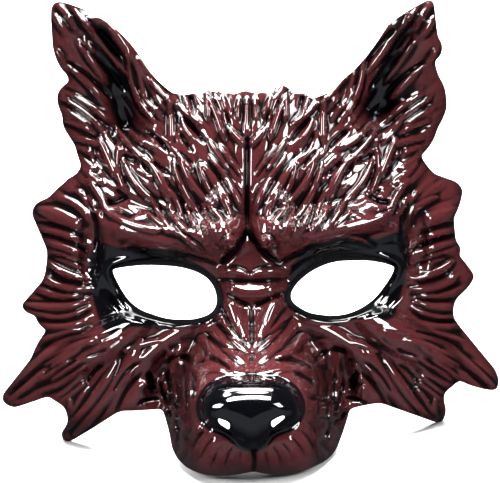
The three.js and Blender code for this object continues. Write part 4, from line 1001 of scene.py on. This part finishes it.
class MASK_OT_mould_shell(bpy.types.Operator):
    """Moulds the mask's one shell, with its fur, folds, lids and nose, and paints it"""
    bl_idname = "mask.mould_shell"
    bl_label = "Mould the shell"

    def execute(self, context):
        sizes, paint = context.scene.mask_shell_settings, context.scene.mask_paint_settings
        bm = flat_sheet(sizes)
        x, y = flat_points(bm.verts)
        pairs = np.array([[vert.index for vert in link.verts] for link in bm.edges])
        outer, inner, wash_and_shade, black = shell_forms(x, y, pairs, sizes)
        stood, inside = stand(x, y, outer), stand(x, y, inner)
        # The wash with its painted shade, and the black paint, stored on each point.
        wash_and_shade_layer = bm.verts.layers.float.new("wash_and_shade")
        black_layer = bm.verts.layers.float.new("blacking")
        for vert, dark, covered in zip(bm.verts, wash_and_shade, black):
            vert[wash_and_shade_layer], vert[black_layer] = float(dark), float(covered)
        front = list(bm.faces)
        for face in front:
            face.smooth = True
        made = bmesh.ops.extrude_face_region(bm, geom=front, use_keep_orig=True)["geom"]
        backs = [item for item in made if isinstance(item, bmesh.types.BMVert)]
        order = {(round(across, 5), round(up, 5)): i for i, (across, up) in enumerate(zip(x, y))}
        spots = [order[(round(across, 5), round(up, 5))] for across, up in zip(*flat_points(backs))]
        behind = set(backs)
        for vert, point in zip([vert for vert in bm.verts if vert not in behind], stood):
            vert.co = point
        for vert, spot in zip(backs, spots):
            vert.co = inside[spot]
            vert[wash_and_shade_layer] = vert[black_layer] = 0.0
        for face in made:
            if isinstance(face, bmesh.types.BMFace):
                face.material_index = 1
        bmesh.ops.recalc_face_normals(bm, faces=bm.faces)
        bm.verts.index_update()
        inner_side = [vert.index for vert in backs
                      if all(face.material_index == 1 for face in vert.link_faces)]
        mesh = bpy.data.meshes.new("moulded_shell")
        bm.to_mesh(mesh)
        bm.free()
        shell = bpy.data.objects.new("moulded_shell", mesh)
        context.collection.objects.link(shell)
        thin_out(shell, inner_side, len(front))
        shell.data.materials.append(painted_plastic(paint))
        shell.data.materials.append(bare_plastic(paint))
        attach(shell, "root")
        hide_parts("mask_shell")
        return {"FINISHED"}


# The stage
def area_light(collection, name, place_m, aim, width, height, power, spread):
    light = bpy.data.lights.new(name, "AREA")
    light.shape, light.size, light.size_y, light.energy = "RECTANGLE", width, height, power
    light.spread = math.radians(spread)
    made = bpy.data.objects.new(name, light)
    made.location = place_m
    made.rotation_mode = "QUATERNION"
    made.rotation_quaternion = (Vector(aim) - Vector(place_m)).to_track_quat("-Z", "Y")
    collection.objects.link(made)


def studio_room(strength):
    """An even dim room with a paler table top in front, which is what the gloss shows under each bulge."""
    world = bpy.data.worlds.new("studio_room")
    world.use_nodes = True
    tree = world.node_tree
    tree.nodes.clear()
    spot = node(tree, "ShaderNodeTexCoord")
    parts = node(tree, "ShaderNodeSeparateXYZ", (), [("Vector", spot, "Generated")])
    below = node(tree, "ShaderNodeMapRange",
                 {"From Min": 0.02, "From Max": -0.06, "To Min": 0.0, "To Max": TABLE_GLOW},
                 [("Value", parts, "Z")])
    ahead = node(tree, "ShaderNodeMapRange", {"From Min": 0.05, "From Max": -0.55}, [("Value", parts, "Y")])
    table = node(tree, "ShaderNodeMath", {"operation": "MULTIPLY"},
                 [(0, below, "Result"), (1, ahead, "Result")])
    room = node(tree, "ShaderNodeMath", {"operation": "ADD", 1: 1.0}, [(0, table, 0)])
    level = node(tree, "ShaderNodeMath", {"operation": "MULTIPLY", 1: strength}, [(0, room, 0)])
    back = node(tree, "ShaderNodeBackground", {"Color": linear("#e6ecf6")}, [("Strength", level, 0)])
    node(tree, "ShaderNodeOutputWorld", (), [("Surface", back, "Background")])
    return world


class MASK_OT_set_stage(bpy.types.Operator):
    """Lays the pale floor, hangs the studio lights and sets the camera"""
    bl_idname = "mask.set_stage"
    bl_label = "Set the stage"

    def execute(self, context):
        stage = context.scene.mask_stage_settings
        bm = bmesh.new()
        bmesh.ops.create_grid(bm, x_segments=1, y_segments=1, size=FLOOR_HALF_SIZE)
        mesh = bpy.data.meshes.new("studio_floor")
        bm.to_mesh(mesh)
        bm.free()
        mesh.materials.append(paper_floor(stage.floor))
        floor = bpy.data.objects.new("studio_floor", mesh)
        context.collection.objects.link(floor)
        floor.visible_glossy = False
        for row in LIGHTS:
            area_light(context.collection, *row)
        context.scene.world = studio_room(stage.sky)
        context.scene.view_settings.view_transform = "Standard"

        turn = Euler([math.radians(a) for a in STAND_TURN]).to_matrix()
        camera = bpy.data.cameras.new("camera")
        camera.sensor_width = SENSOR_WIDTH
        camera.lens = SENSOR_WIDTH * EYE_DISTANCE / MASK_WIDTH
        camera.clip_start, camera.clip_end = 0.1, 40.0
        seen = bpy.data.objects.new("camera", camera)
        place_m = (Vector(STAND_PLACE) + turn.col[2] * EYE_DISTANCE) * MM
        seen.matrix_world = Matrix.LocRotScale(place_m, turn, None)
        context.collection.objects.link(seen)
        context.scene.camera = seen
        return {"FINISHED"}


class MASK_PT_panel(bpy.types.Panel):
    """The settings and the two steps, in the order that they run"""
    bl_label = "Wolf half mask"
    bl_space_type = "VIEW_3D"
    bl_region_type = "UI"
    bl_category = "Mask"

    def draw(self, context):
        for settings in SETTINGS:
            group = getattr(context.scene, settings)
            for name in group.__annotations__:
                self.layout.prop(group, name)
        self.layout.operator("mask.mould_shell")
        self.layout.operator("mask.set_stage")


CLASSES = (MaskShellSettings, MaskPaintSettings, MaskStageSettings,
           MASK_OT_mould_shell, MASK_OT_set_stage, MASK_PT_panel)
SETTINGS = {"mask_shell_settings": MaskShellSettings, "mask_paint_settings": MaskPaintSettings,
            "mask_stage_settings": MaskStageSettings}


def register():
    for cls in CLASSES:
        bpy.utils.register_class(cls)
    for name, group in SETTINGS.items():
        setattr(bpy.types.Scene, name, bpy.props.PointerProperty(type=group))


def unregister():
    for name in SETTINGS:
        delattr(bpy.types.Scene, name)
    for cls in reversed(CLASSES):
        bpy.utils.unregister_class(cls)


def main():
    register()
    bpy.ops.mask.mould_shell()
    bpy.ops.mask.set_stage()
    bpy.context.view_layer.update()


if __name__ == "__main__":
    main()
